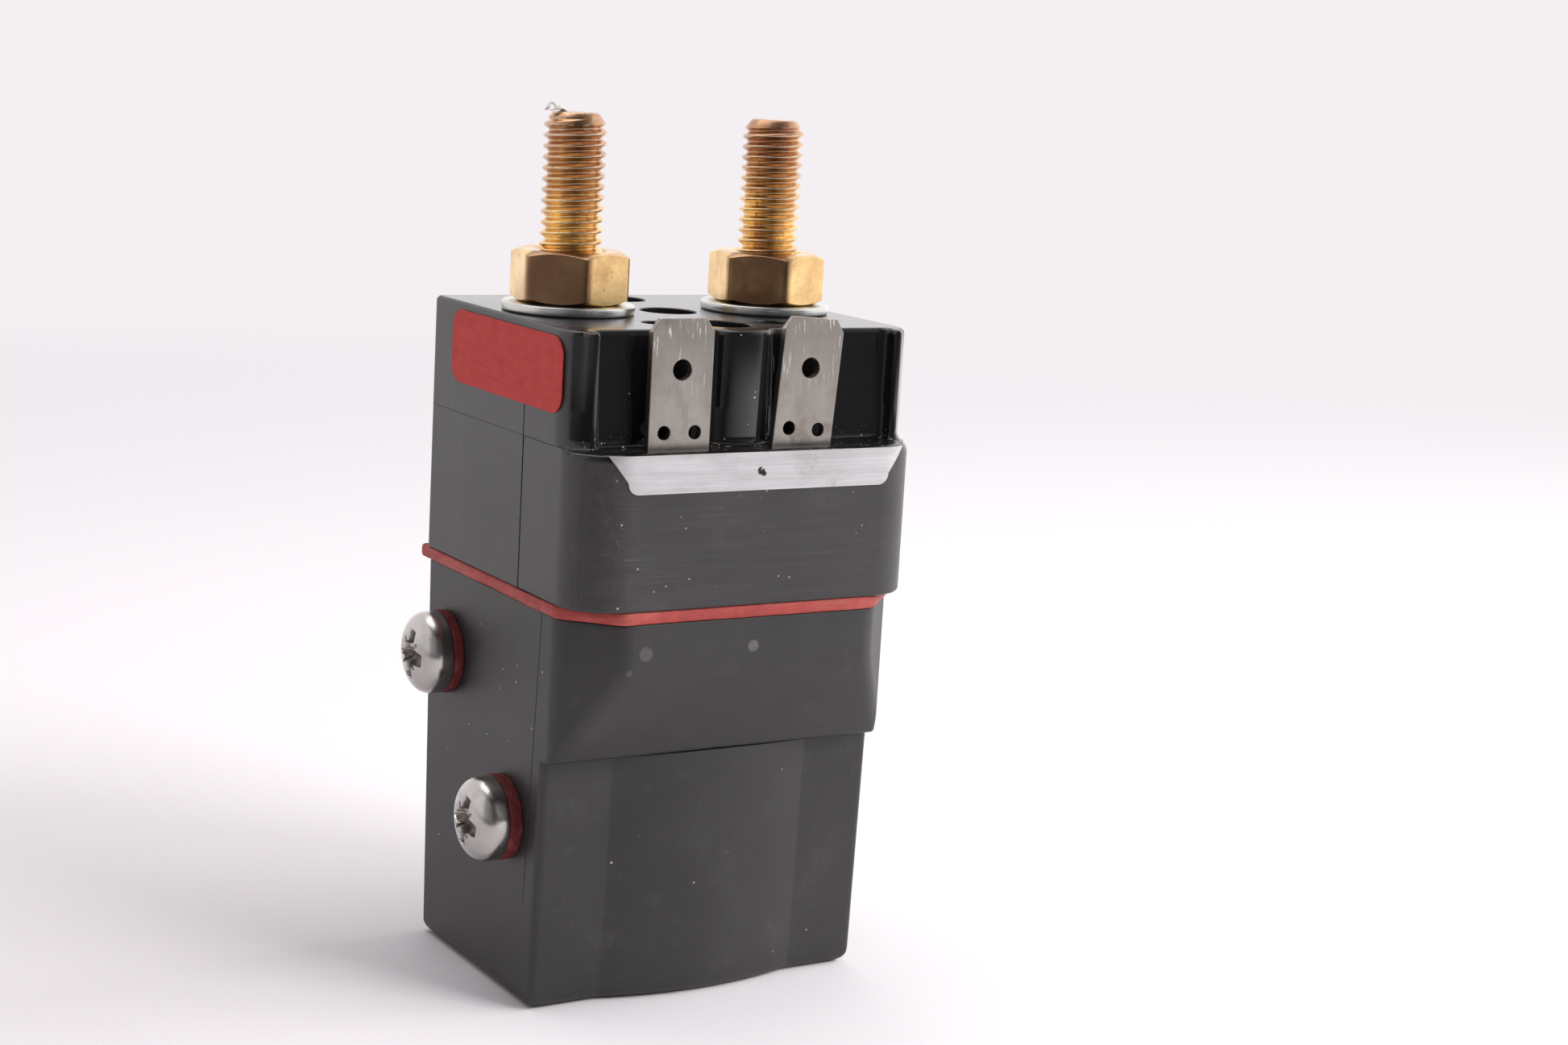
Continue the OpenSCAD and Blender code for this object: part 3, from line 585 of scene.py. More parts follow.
def moulded(name, tone, roughness, gloss_roughness, streak, rub, dust, marks=(), litter=False):
    """Black moulding: its streaks run upright on the sides and level on the front, its gloss follows the piece's mask,
    and the glossy parts are painted darker as painted shade; pale rubs and dust specks lie over it. A moulding with
    ejector marks has a seam too."""
    t = Finish(name)
    side = t.ramp(abs(t.axes(t.value("TexCoord", out="Normal"))[0]), 0.6, 0.8)
    level = t.place("Streaks", Scratches=1.0)
    upright = t.place("Streaks", Vector=t.mapped(rotation=(0, math.pi / 2, 0)), Scratches=0.6)
    lines, scratch = (t.mix(side, a, b) for a, b in zip(level, upright))
    mask = t.mask()
    satin = (1.0 - mask).clamped()
    rubs = t.place("Scuffs", Scale=130.0, Limit=0.56)[0] + t.place("Scuffs", Scale=420.0, Limit=0.6)[0]
    dots = t.specks(1700.0, dust, 0.22)
    grain = t.noise(9000.0, 2.0)
    cloud = t.noise(60.0, 3.0)
    t.base = t.mix(t.ramp(cloud, 0.3, 0.7), faded(tone, 0.75), faded(tone, 1.35))
    t.lay(t.ramp(lines, 0.42, 0.68) * (0.45 * streak), faded(tone, 2.2))
    t.lay(scratch * (satin * (0.9 * streak)), (0.16, 0.15, 0.15))
    rubbed = (rubs * rub).clamped()
    t.lay(rubbed * satin, (0.22, 0.21, 0.21))
    # Painted shade: glossy parts are painted much darker, which keeps the glossy recess black; the shelf and the top
    # face get it too
    t.lay(mask * 0.8, faded(tone, 0.1))
    if marks:
        worn = t.ramp(t.noise(2600.0, 4.0, 0.7), 0.35, 0.65, 0.45, 0.9)
        t.lay(t.spots(marks) * worn, (0.24, 0.23, 0.225))
    if litter:
        near = t.ramp(t.axes()[2], 0.0549, 0.0536) * mask
        near = near * t.ramp(t.noise(420.0, 3.0), 0.45, 0.62)
        crumb = t.mix(t.noise(900.0), (0.5, 0.4, 0.22), (0.55, 0.52, 0.47))
        t.lay(t.specks(3600.0, 0.35, 0.42) * near, crumb)
    t.lay(dots * 0.8, (0.46, 0.43, 0.38))
    rough = satin * (roughness - gloss_roughness) + gloss_roughness
    rough = rough + (lines - 0.5) * (satin * (0.25 * streak))
    rough = (rough + rubbed * 0.25).clamped()
    relief = lines * satin * (0.7 * streak) + grain * satin * 0.5
    relief = relief - scratch * satin + dots * 3.0
    if marks:
        # Mould line on the left face: within 0.07 mm of y = -7.39 - 0.0559 (z - 10.32), in millimetres
        x, y, z = t.axes()
        line = t.ramp(abs(y + z * 0.0559 + 0.006813), 0.00010, 0.00004)
        line = line * t.math("LESS_THAN", x, -0.0176) * t.ramp(z, 0.0085, 0.012)
        t.lay(line, (0.001, 0.001, 0.001))
        rough = t.mix(line, rough, (0.9, 0.9, 0.9))
        relief = relief - line * 6.0
    return t.done(rough, relief, 0.35, 0.02)


def brass(name, tone, threaded):
    """Brass with patches of pinkish and brown tarnish, grey wear on crests, painted shade on one flat of each nut and
    fine turning lines.
    """
    t = Finish(name)
    x, _, z = t.axes()
    cloud = t.noise(260.0, 4.0, 0.6)
    fine = t.noise(2200.0, 3.0, 0.6)
    pits = t.specks(2300.0, 0.05 if threaded else 0.14, 0.3)
    t.base = t.mix(t.ramp(cloud, 0.35, 0.65), tone, (tone[0] * 0.72, tone[1] * 0.62, tone[2] * 0.62))
    t.lay(t.ramp(fine, 0.5, 0.75) * 0.25, (0.34, 0.20, 0.10))
    if threaded:
        browned = t.ramp(z, 0.0725, 0.0785) * t.ramp(cloud, 0.3, 0.6, 0.5, 0.9)
        t.lay(browned, (0.42, 0.225, 0.14))
        worn = t.ramp(t.mask(), 0.9, 1.0) * t.ramp(cloud, 0.35, 0.55, 0.1, 0.7)
        t.lay(worn, (0.66, 0.54, 0.40))
        # Pale residue on the last crests of the left stud
        crust = t.ramp(fine, 0.52, 0.6, 0.0, 0.7) * t.ramp(z, 0.0795, 0.0805) * t.ramp(x, -0.006, -0.007)
        t.lay(crust * t.ramp(cloud, 0.42, 0.5) * 0.45, (0.80, 0.78, 0.76))
    else:
        # Painted shade: the flat that the nuts' mask marks is painted dark brown
        t.lay(t.mask() * t.ramp(cloud, 0.3, 0.6, 0.7, 0.95), (0.24, 0.13, 0.075))
    t.lay(pits * 0.5, (0.13, 0.075, 0.04))
    turning = t.noise(1500.0, 2.0, stretch=(1, 1, 10 if threaded else 3))
    return t.done(t.ramp(cloud, 0.3, 0.7, 0.16, 0.3), turning * 0.6 + fine * 0.3,
                  0.05 if threaded else 0.12, 0.012, 1.0)


def metal(name, tone, roughness, tint, pits, bump, scraped=False):
    """Plain metal with a cloudy tint and small dark pits, and for the tabs upright brushing and the
    scrapes and brown stains that a connector leaves."""
    t = Finish(name)
    cloud = t.noise(320.0, 4.0, 0.6)
    t.base = t.mix(t.ramp(cloud, 0.36, 0.64), tone, tint)
    relief = t.noise(2600.0, 3.0, 0.55)
    if scraped:
        upright = t.mapped(rotation=(0, math.pi / 2, 0))
        lines, scratch = t.place("Streaks", Vector=upright, Scratches=1.0)
        t.lay(t.ramp(lines, 0.35, 0.7, 0.0, 0.3), faded(tone, 0.62))
        t.lay(scratch * 0.6, faded(tone, 1.5))
        relief = relief * 0.4 + lines
    t.lay(t.specks(2100.0, pits, 0.3) * 0.5, faded(tone, 0.3))
    if scraped:
        height = t.axes()[2]
        stain = t.ramp(t.noise(330.0, 4.0, 0.6), 0.5, 0.66) * t.ramp(height, 0.0625, 0.054)
        t.lay(stain * 0.75, (0.20, 0.155, 0.13))
        rub = t.noise(2600.0, 3.0, 0.7, (1, 1, 0.07), (0, 0.03, 0))
        rub = t.ramp(rub, 0.57, 0.63) * t.ramp(height, 0.0575, 0.0635)
        rub = rub * t.ramp(t.noise(700.0, 4.0, 0.7), 0.42, 0.56)
        t.lay(rub, (0.86, 0.83, 0.79))
        relief = relief - rub * 1.5
    return t.done(t.ramp(cloud, 0.3, 0.7, roughness * 0.85, roughness * 1.2), relief, bump, 0.015, 1.0)


def soft_red(name, tone, fibre, roughness, mottle, pale, gloss=0.25):
    """Red paper, fibre or rubber: mottled, with short fibres along one direction."""
    t = Finish(name)
    t.link(gloss, t.shader.inputs["Specular IOR Level"])
    strands = t.noise(260.0, 4.0, 0.7, fibre)
    cloud = t.noise(700.0, 4.0, 0.65)
    t.base = t.mix(t.ramp(cloud, 0.3, 0.7), tone, faded(tone, 1 - mottle))
    t.lay(t.ramp(strands, 0.5, 0.75, 0.0, 0.35), pale)
    t.lay(t.ramp(strands, 0.5, 0.3, 0.0, 0.4), faded(tone, 0.6))
    t.lay(t.specks(1900.0, 0.03, 0.25) * 0.6, (0.5, 0.42, 0.36))
    return t.done(t.ramp(cloud, 0.2, 0.8, roughness - 0.1, roughness + 0.1), strands + cloud, 0.5, 0.03)


def foil(name, tone):
    """Brushed foil: fine level lines over a cloudy sheen, a few rubs and one small dented spot with painted shade in
    it.
    """
    t = Finish(name)
    lines = t.place("Streaks", Scratches=1.0)[0]
    cloud = t.noise(160.0, 4.0, 0.6, (1, 1, 2.4))
    t.base = t.mix(t.ramp(lines, 0.38, 0.62, 0.0, 0.42), faded(tone, 1.15), faded(tone, 0.6))
    t.lay(t.ramp(cloud, 0.5, 0.72, 0.0, 0.4), faded(tone, 0.62))
    # Painted shade: the dented spot is painted near black, as well as sunk by the bump
    dent_and_shade = t.spots((((-0.2, -16.85, 51.6), 0.42, 1.0), ((0.1, -16.85, 51.35), 0.28, 1.0)))
    rub = t.spots((((4.4, -16.85, 52.0), 1.3, 0.22), ((5.2, -16.85, 52.3), 0.7, 0.3),
                   ((7.6, -16.85, 50.2), 0.4, 0.3)))
    rub = rub * t.ramp(t.noise(1400.0, 4.0, 0.7), 0.35, 0.65)
    t.lay(rub, (0.2, 0.19, 0.19))
    t.lay(dent_and_shade * t.ramp(t.noise(1900.0), 0.36, 0.44), (0.04, 0.035, 0.035))
    return t.done(t.ramp(cloud, 0.3, 0.7, 0.34, 0.5), lines + cloud * 2.5 - dent_and_shade * 4.0, 0.35, 0.03, 1.0)


def plain(name, tone, roughness, metallic=0.0, wound=None):
    """Inner parts that are seldom seen: a quiet colour with a little grain, or wound lines."""
    t = Finish(name)
    relief = grain = t.noise(1800.0, 3.0)
    t.base = t.mix(t.ramp(grain, 0.3, 0.7), faded(tone, 0.82), tone)
    if wound:
        relief = t.value("TexWave", {"Vector": t.position, "Scale": wound, "Distortion": 0.4, "Detail": 1.0},
                         "Fac", wave_type="BANDS", bands_direction="Z")
        t.lay(t.ramp(relief, 0.0, 0.5, 0.7, 0.0), faded(tone, 0.35))
    rough = t.ramp(grain, 0.2, 0.8, roughness * 0.85, min(roughness * 1.15, 1.0))
    return t.done(rough, relief, 0.3, 0.03, metallic)


class CONTACTOR_OT_finishes(bpy.types.Operator):
    """Builds the node groups and the materials of every piece"""
    bl_idname = "contactor.finishes"
    bl_label = "Finishes"

    def execute(self, context):
        look = settings("contactor_finishes")
        for make in (streaks_group, specks_group, scuffs_group):
            make()
        tone = {key: tuple(getattr(look, key)) for key in Finishes.__annotations__}
        MATERIALS.update(
            housing=moulded("housing_moulding", tone["housing"], 0.40, 0.07, 0.9, 0.12, 0.05, litter=True),
            cover=moulded("cover_moulding", tone["cover"], 0.46, 0.3, 0.2, 0.1, 0.012, (
                ((-10.9, -16.4, 35.2), 0.75, 0.3), ((0.28, -16.4, 35.2), 0.62, 0.55),
                ((-12.5, -16.4, 33.5), 0.35, 0.3))),
            thread=brass("stud_brass", tone["brass"], True),
            nut=brass("nut_brass", faded(tone["brass"], 0.96), False),
            zinc=metal("washer_zinc", tone["zinc"], 0.26, (0.56, 0.56, 0.51), 0.08, 0.25),
            tab=metal("tab_metal", tone["tin"], 0.34, (0.33, 0.30, 0.27), 0.12, 0.35, True),
            steel=metal("screw_steel", tone["steel"], 0.2, faded(tone["steel"], 0.8), 0.03, 0.12),
            foil=foil("label_foil", tone["foil"]),
            sticker=soft_red("sticker_paper", tone["sticker"], (1, 1.2, 9), 0.7, 0.1, (0.52, 0.08, 0.07), 0.2),
            gasket=soft_red("gasket_rubber", tone["gasket"], (0.5, 0.5, 3), 0.6, 0.3, (0.55, 0.25, 0.2)),
            fibre=soft_red("washer_fibre", tone["fibre"], (2, 2, 2), 0.8, 0.5, (0.56, 0.2, 0.16)),
        )
        MATERIALS.update({key: plain(*row) for key, row in PLAIN_FINISHES.items()})
        for key, nodes in CAD_FINISHES.items():
            for name in nodes:
                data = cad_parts[name].data
                data.materials.clear()
                data.materials.append(MATERIALS[key])
        return {"FINISHED"}


class CONTACTOR_OT_housing(bpy.types.Operator):
    """Makes the contact housing: the recessed terminal block over the plain rear block"""
    bl_idname = "contactor.housing"
    bl_label = "Contact housing"

    def execute(self, context):
        size = settings("contactor_housing")
        sheet = Sheet()
        rim = self.upper_block(sheet, size)
        sheet.cap([rim] + self.wells(sheet, size), HOUSING_HIGH[2], mask=TOP_GLOSS)
        self.rear_block(sheet, size)
        piece = sheet.object("terminal_block", MATERIALS["housing"])
        settle(piece, "casing", "housing_plastic", "contact_housing")
        return {"FINISHED"}

    def upper_block(self, sheet, size):
        """Walls over the shelf, with the recess, its foot fillet, the joint's groove and the rounded top edge.
        Returns the outline of the top face."""
        x, top, front, arm = HOUSING_HIGH[0], HOUSING_HIGH[2], SHELL_LOW[1], SHELL_HIGH[2]
        joint = SHELL_HIGH[1] + size.groove / 2
        # Room: how far each point of the plan stands behind the front shell's edge
        loop = terminal_outline(size, x, front, HOUSING_HIGH[1], joint)
        px, py = np.abs(loop[:, 0]), loop[:, 1]
        corner = np.hypot(px - (x - size.bend), py - (front + size.bend))
        in_corner = (px > x - size.bend) & (py < front + size.bend)
        room = np.where(in_corner, size.bend - corner, py - front)
        room = np.where((px > x - TOUCH) | (py > front + size.cut + 0.1 * MM), 0, room)
        foot = share_of(room, size.foot * 1.5)
        wall_y = front + size.recess
        recess_wall = share_of(py - (wall_y - 0.6 * MM), 0.5 * MM) * (room > 0) * (py < wall_y + TOUCH)
        inner_groove = (np.abs(py - joint) < size.groove * 0.3) & (px > x - 0.5 * size.groove)
        arm_side = (px > x - TOUCH) & (py < joint)

        # Foot fillet: offset foot * (1 - sin t) at height foot * (1 - cos t); top edge: the same turned over
        gap = size.groove / 4
        rows = [(SHELF - 0.05 * MM, foot * size.foot)]
        rows += [(SHELF + size.foot * (1 - b), foot * size.foot * (1 - a)) for a, b in zip(*quarter(1.0, 8)[::-1])]
        rows += [(arm - gap, 0), (arm - gap / 2, -gap * arm_side), (arm + gap, -gap * arm_side), (arm + 1.5 * gap, 0)]
        rows += [(top - size.edge + b, a - size.edge) for a, b in zip(*quarter(size.edge, 7))]
        heights, offsets = table_columns(rows, loop)
        offsets = offsets - 0.8 * size.groove * inner_groove * (heights < arm + gap)
        # Draft: the recess walls lean back by a share of the height over the shelf
        offsets = offsets - size.lean * recess_wall * share_of(heights - SHELF, top - SHELF)
        wall = carried(loop, offsets, heights)
        # The recess is glossy, and its material also paints it darker there as painted shade
        gloss = np.repeat(share_of(room, 0.6 * MM)[None], len(heights), 0)
        gloss[-1] = TOP_GLOSS
        sheet.grid(wall, mask=gloss)
        sheet.cap([wall[0]], wall[0, 0, 2])
        return wall[-1]

    def wells(self, sheet, size):
        """Three screw wells and two core holes in the top face. Returns their outlines."""
        top, lip = HOUSING_HIGH[2], 0.15 * MM
        front_well, rear_well = well_places()
        middle = STUD_LOW[1] + (STUD_HIGH[1] - STUD_LOW[1]) / 2
        c, s = quarter(lip, 4)
        holes = []
        for x, y, radius, depth in (
                (0, front_well, size.well, size.well_depth), (0, middle, size.well, size.middle_depth),
                (0, rear_well, size.well, size.well_depth), (-size.core_x, size.core_y, size.core, size.core_depth),
                (size.core_x, size.core_y, size.core, size.core_depth)):
            holes.append(circle(x, y, radius + lip))
            levels = np.concatenate([top - lip + c, [top - depth * 0.5, top - depth, top - depth]])
            levels[0] = top
            radii = [*(radius + lip - s), radius, radius, 0]
            sheet.grid(rings((x, y), -round_angles(40), radii, levels), mask=TOP_GLOSS)
        return holes

    def rear_block(self, sheet, size):
        """Plain block under the shelf. Its contact chamber is open below, so that the bridge and the rod's
        collar rise in it."""
        x, back, base, under = HOUSING_HIGH[0], HOUSING_HIGH[1], SHELL_LOW[2], SHELF - 0.02 * MM
        gap = size.groove / 4
        joint = SHELL_HIGH[1] + size.groove / 2 + gap
        block = rounded_outline([(-x, joint), (x, joint), (x, back), (-x, back)], [gap, gap, size.back, size.back])
        edge = size.low_edge
        c, s = quarter(edge, 4)
        sheet.grid(carried(block, [*(c[::-1] - edge), 0], [*(base + edge - s[::-1]), under]))
        side, near, far, roof = 15.0 * MM, -3.4 * MM, 9.7 * MM, 51.5 * MM
        chamber = rounded_outline([(-side, near), (side, near), (side, far), (-side, far)], [0.5 * MM] * 4)
        sheet.cap([moved(block, -edge), chamber[::-1]], base)
        sheet.grid(carried(chamber, [0, 0], [base, roof]))
        sheet.cap([chamber], roof)
        sheet.cap([block], under)


def well_places():
    """Middles of the front and rear screw wells: those of the two housing screws."""
    low, high = box("housing_screws")
    head_radius = 2.65 * MM
    return low[1] + head_radius, high[1] - head_radius


def terminal_outline(size, x, front, back, joint):
    """Plan of the housing above the shelf, counter-clockwise: cut front corners, ribs, recess and boss.
    The boss is an arc of its own radius about the front screw well. Each row is x, y and the rounding."""
    wall, inner, side = front + size.recess, x - size.rib, front + size.cut
    left = [(-x, back, size.back)]
    left += [(-x, joint + step * size.groove, 0) for step in (0.5, 0.25, -0.25, -0.5)]
    left += [(-x, side, size.rib_round), (-inner, side - size.rib, size.wedge), (-inner, wall, size.corner)]
    centre = well_places()[0]
    reach = math.asin(math.sqrt(size.boss ** 2 - (centre - wall) ** 2) / size.boss)
    t = np.linspace(-reach, reach, 19)
    boss = np.stack([size.boss * np.sin(t), centre - size.boss * np.cos(t), 0 * t], 1)
    boss[[0, -1], 2] = size.boss_join
    both = mirrored(left)
    rows = np.array(both[:len(left)] + boss.tolist() + both[len(left):])
    return rounded_outline(rows[:, :2], rows[:, 2])


class CONTACTOR_OT_shell(bpy.types.Operator):
    """Makes the front shell with its rounded front corners and the shelf over it"""
    bl_idname = "contactor.shell"
    bl_label = "Front shell"

    def execute(self, context):
        size = settings("contactor_housing")
        x, front, base, shelf = SHELL_HIGH[0], SHELL_LOW[1], SHELL_LOW[2], SHELF
        gap = size.groove / 4
        joint = SHELL_HIGH[1] - gap
        loop = rounded_outline([(-x, joint), (-x, front), (x, front), (x, joint)],
                               [gap, size.bend, size.bend, gap], 24)
        px, py = np.abs(loop[:, 0]), loop[:, 1]
        # Softness of the shelf's edge: 0 on the sides, and 1 from 22 degrees round the corner
        turn = np.degrees(np.arctan2(front + size.bend - py, px - (x - size.bend)))
        soft = np.where(py > front + size.bend, 0, share_of(turn, 22))
        soft = soft * soft * (3 - 2 * soft)
        low_edge, edge = size.low_edge, size.shelf_edge
        c, s = quarter(low_edge, 4)
        rows = [(base + low_edge - b, a - low_edge) for a, b in zip(c[::-1], s[::-1])]
        rows += [(shelf - edge + b, (a - edge) * soft) for a, b in zip(*quarter(edge, 8))]
        heights, offsets = table_columns(rows, loop)
        wall = carried(loop, offsets, heights)
        # The shelf and its edge are glossy, and the material also paints them darker as painted shade
        gloss = share_of(heights - (shelf - edge), 0.4 * edge) * soft
        gloss[-1] = SHELF_GLOSS
        sheet = Sheet()
        sheet.grid(wall, mask=gloss)
        sheet.cap([wall[0]], base)
        slots = [tab_slot(node, shelf) for node in ("left_coil_tab", "right_coil_tab")]
        depth = shelf - size.slot_depth
        for slot in slots:
            sheet.grid(carried(slot, [0, 0], [shelf, depth]), mask=SHELF_GLOSS)
            sheet.cap([slot[::-1]], depth)
        sheet.cap([wall[-1]] + slots, shelf, mask=SHELF_GLOSS)
        piece = sheet.object("front_moulding", MATERIALS["housing"])
        settle(piece, "casing", "housing_plastic", "front_shell")
        return {"FINISHED"}


def node_points(node):
    """Points of a CAD node's mesh."""
    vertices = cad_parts[node].data.vertices
    points = np.empty(len(vertices) * 3, np.float32)
    vertices.foreach_get("co", points)
    return points.reshape(-1, 3).astype(float)


def tab_slot(node, level):
    """Clockwise outline of the slot that a tab stands in, from the tab's own points near that level."""
    points = node_points(node)
    near = points[np.abs(points[:, 2] - level) < 3 * MM][:, 1]
    y0, y1 = near.min() - 0.1 * MM, near.max() + 0.1 * MM
    middle, half = tab_frame(node)[0], TAB_HALF + 0.15 * MM
    x0, x1 = middle - half, middle + half
    return np.array([(x0, y0), (x0, y1), (x1, y1), (x1, y0)])


def tab_frame(node):
    """Middle of a tab at the height about which it leans, and its lean in radians. Only the right tab
    leans, and its middle is worked out from its highest points."""
    low, high = box(node)
    if node == "left_coil_tab":
        return (low[0] + high[0]) / 2, 0.0
    lean = settings("contactor_metal").tab_lean
    points = node_points(node)
    tip = points[points[:, 2] > high[2] - 0.35 * MM][:, 0]
    return tip.mean() - math.sin(lean) * (high[2] - TAB_PIVOT), lean


def cover_profile(size):
    """Side profile of the cover's front: depth against height, as a round-cornered line.
    Returned with a share that is 1 on the swelling's rows and falls to 0 along the lip's underside."""
    under = size.base_front + size.draft * size.lip / COVER_HIGH[2]
    corners = np.array([(size.base_front, 0.0), (under, size.lip), (size.lip_front, size.lip),
                        (size.front, size.bend), (size.front, COVER_HIGH[2])])
    ways = np.diff(corners, axis=0)
    ways /= np.linalg.norm(ways, axis=1)[:, None]
    line = [corners[:1]]
    for i, radius in ((1, 0.25 * MM), (2, size.lip_edge), (3, size.bend_radius)):
        arc = corner_arc(corners[i], -ways[i - 1], ways[i], radius, 9)
        start = line[-1][-1]
        count = max(2, int(np.linalg.norm(arc[0] - start) / (0.5 * MM)))
        line.append(start + (arc[0] - start) * np.linspace(0, 1, count, endpoint=False)[1:, None])
        line.append(arc)
    start = line[-1][-1]
    line.append(start + (corners[4] - start) * np.linspace(0, 1, 9)[1:, None])
    line = np.concatenate(line)
    share = 1.0 - share_of(line[:, 0] - under, size.lip_front - under)
    share = np.where(line[:, 1] < size.lip - 0.3 * MM, 1.0, share)
    return line, np.where(line[:, 1] > size.lip + 0.02 * MM, 0.0, share)


def cover_ring(size, angles, depth, share, height, inset):
    """One ring of the cover at a height, for rays at those angles from the middle, found by halving.

    The plan is where the length of (plane distances + r, none below zero) equals r, for the planes of the
    two sides, the back, the two corner cuts and the front, which swells by sqrt(R^2 - x^2) - sqrt(R^2 - h^2)."""
    half = COVER_HIGH[0] - inset
    back = size.base_back + size.draft * height / COVER_HIGH[2] - inset
    cut = COVER_HIGH[0] + size.front - size.cut - inset * math.sqrt(2)
    r = size.edge
    c, s = np.cos(angles), np.sin(angles)
    low, high = np.zeros_like(angles), np.full_like(angles, 30 * MM)
    sag = math.sqrt(size.swell_radius ** 2 - size.swell_half ** 2)
    for _ in range(34):
        reach = (low + high) / 2
        x, y = reach * c, COVER_MIDDLE + reach * s
        swell = np.maximum(np.sqrt(np.maximum(size.swell_radius ** 2 - x * x, 0)) - sag, 0) * share
        planes = np.stack([np.abs(x) - half, y - back, (np.abs(x) - y - cut) / math.sqrt(2),
                           -y - (depth - inset) - swell])
        outside = np.sqrt((np.maximum(planes + r, 0) ** 2).sum(0)) > r
        high = np.where(outside, reach, high)
        low = np.where(outside, low, reach)
    return np.stack([reach * c, COVER_MIDDLE + reach * s, np.full_like(reach, height)], 1)


def cover_angles():
    """Ray angles, closer together at the four upright corners and across the front."""
    t = np.linspace(-math.pi, math.pi, 4001)[:-1]
    weight = np.ones_like(t)
    for degrees, width, more in ((-48, 9, 3.0), (-132, 9, 3.0), (38, 4, 5.0), (142, 4, 5.0), (-90, 30, 0.6),
                                 (-33, 5, 2.0), (-147, 5, 2.0)):
        gap = np.abs((t - math.radians(degrees) + math.pi) % (2 * math.pi) - math.pi)
        weight += more * np.exp(-(gap / math.radians(width)) ** 2)
    total = np.cumsum(weight)
    return np.interp(np.linspace(0, total[-1], 401)[:-1], total, t)


class CONTACTOR_OT_cover(bpy.types.Operator):
    """Makes the coil cover: sloped front, lip, swelling and hollow inside"""
    bl_idname = "contactor.cover"
    bl_label = "Coil cover"

    def execute(self, context):
        size = settings("contactor_cover")
        line, share = cover_profile(size)
        angles, top, rim, edge = cover_angles(), COVER_HIGH[2], 0.2 * MM, size.base_edge
        # Rows from the base up and back down inside: depth in front, share of the swelling, height, inset
        c, s = quarter(edge, 7)
        rows = [(size.base_front, 1.0, edge - b, edge - a) for a, b in zip(c[::-1], s[::-1])]
        body = [(d, k, z, 0.0) for (d, z), k in zip(line, share) if edge < z < top - rim]
        rows += body
        rows += [(line[-1, 0], 0.0, top - rim + b, rim - a) for a, b in zip(*quarter(rim, 4))]
        rows.append((line[-1, 0], 0.0, top, size.wall))
        inner = [body[i] for i in np.linspace(len(body) - 1, 0, 26).astype(int)]
        rows += [(d, k, z, size.wall) for d, k, z, _ in inner if z > size.wall + 0.3 * MM]
        rows.append((size.base_front, 1.0, size.wall, size.wall))
        wall = np.stack([cover_ring(size, angles, *row) for row in rows])
        sheet = Sheet()
        sheet.grid(wall)
        sheet.fan(wall[0], np.array([0, COVER_MIDDLE, 0]))
        sheet.fan(wall[-1][::-1], np.array([0, COVER_MIDDLE, size.wall]))
        piece = sheet.object("cover_moulding", MATERIALS["cover"], 50.0)
        settle(piece, "casing", "cover_plastic", "coil_cover")
        return {"FINISHED"}


class CONTACTOR_OT_gasket(bpy.types.Operator):
    """Makes the gasket as a slightly uneven band between the cover and the housing"""
    bl_idname = "contactor.gasket"
    bl_label = "Gasket"

    def execute(self, context):
        size = settings("contactor_metal")
        low, high = box("sealing_gasket")
        x, front, back, cut = 17.85 * MM, low[1], high[1] - 0.1 * MM, settings("contactor_housing").cut
        loop = rounded_outline([(-x, back), (-x, front + cut), (-x + cut, front), (x - cut, front),
                                (x, front + cut), (x, back)], np.array([0.4, 1.5, 1.5, 1.5, 1.5, 0.4]) * MM)
        # Points evenly spaced along the outline, so that the waves keep their form
        closed = np.vstack([loop, loop[:1]])
        along = np.concatenate([[0], np.cumsum(np.linalg.norm(np.diff(closed, axis=0), axis=1))])
        t = np.linspace(0, along[-1], 421)[:-1]
        loop = np.stack([np.interp(t, along, closed[:, 0]), np.interp(t, along, closed[:, 1])], 1)
        a = 2 * math.pi * t / along[-1]
        wave = size.gasket_wave * (0.5 * np.sin(5 * a + 0.7) + 0.3 * np.sin(11 * a + 2) + 0.2 * np.sin(23 * a))
        wave = np.where(loop[:, 1] > back - 3 * MM, 0, wave)
        turn = np.radians(np.linspace(-90, 90, 9))
        offsets = 0.25 * MM * (np.cos(turn) - 1)[:, None] + wave[None] + 0.12 * MM
        bulge = np.sign(np.sin(turn)) * np.abs(np.sin(turn)) ** 0.6
        outer = carried(loop, offsets, (low[2] + high[2]) / 2 + (high[2] - low[2]) / 2 * bulge)
        inner = carried(loop, [-1.8 * MM, -1.8 * MM], [high[2], low[2]])
        sheet = Sheet()
        sheet.grid(np.concatenate([outer, inner, outer[:1]]))
        piece = sheet.object("gasket_band", MATERIALS["gasket"], 60.0)
        settle(piece, "casing", "gasket_rubber", "sealing_gasket")
        return {"FINISHED"}


def stud_axis(side):
    """Axis of the left or right stud."""
    low, high = box(side + "_stud")
    return (low[0] + high[0]) / 2, (low[1] + high[1]) / 2


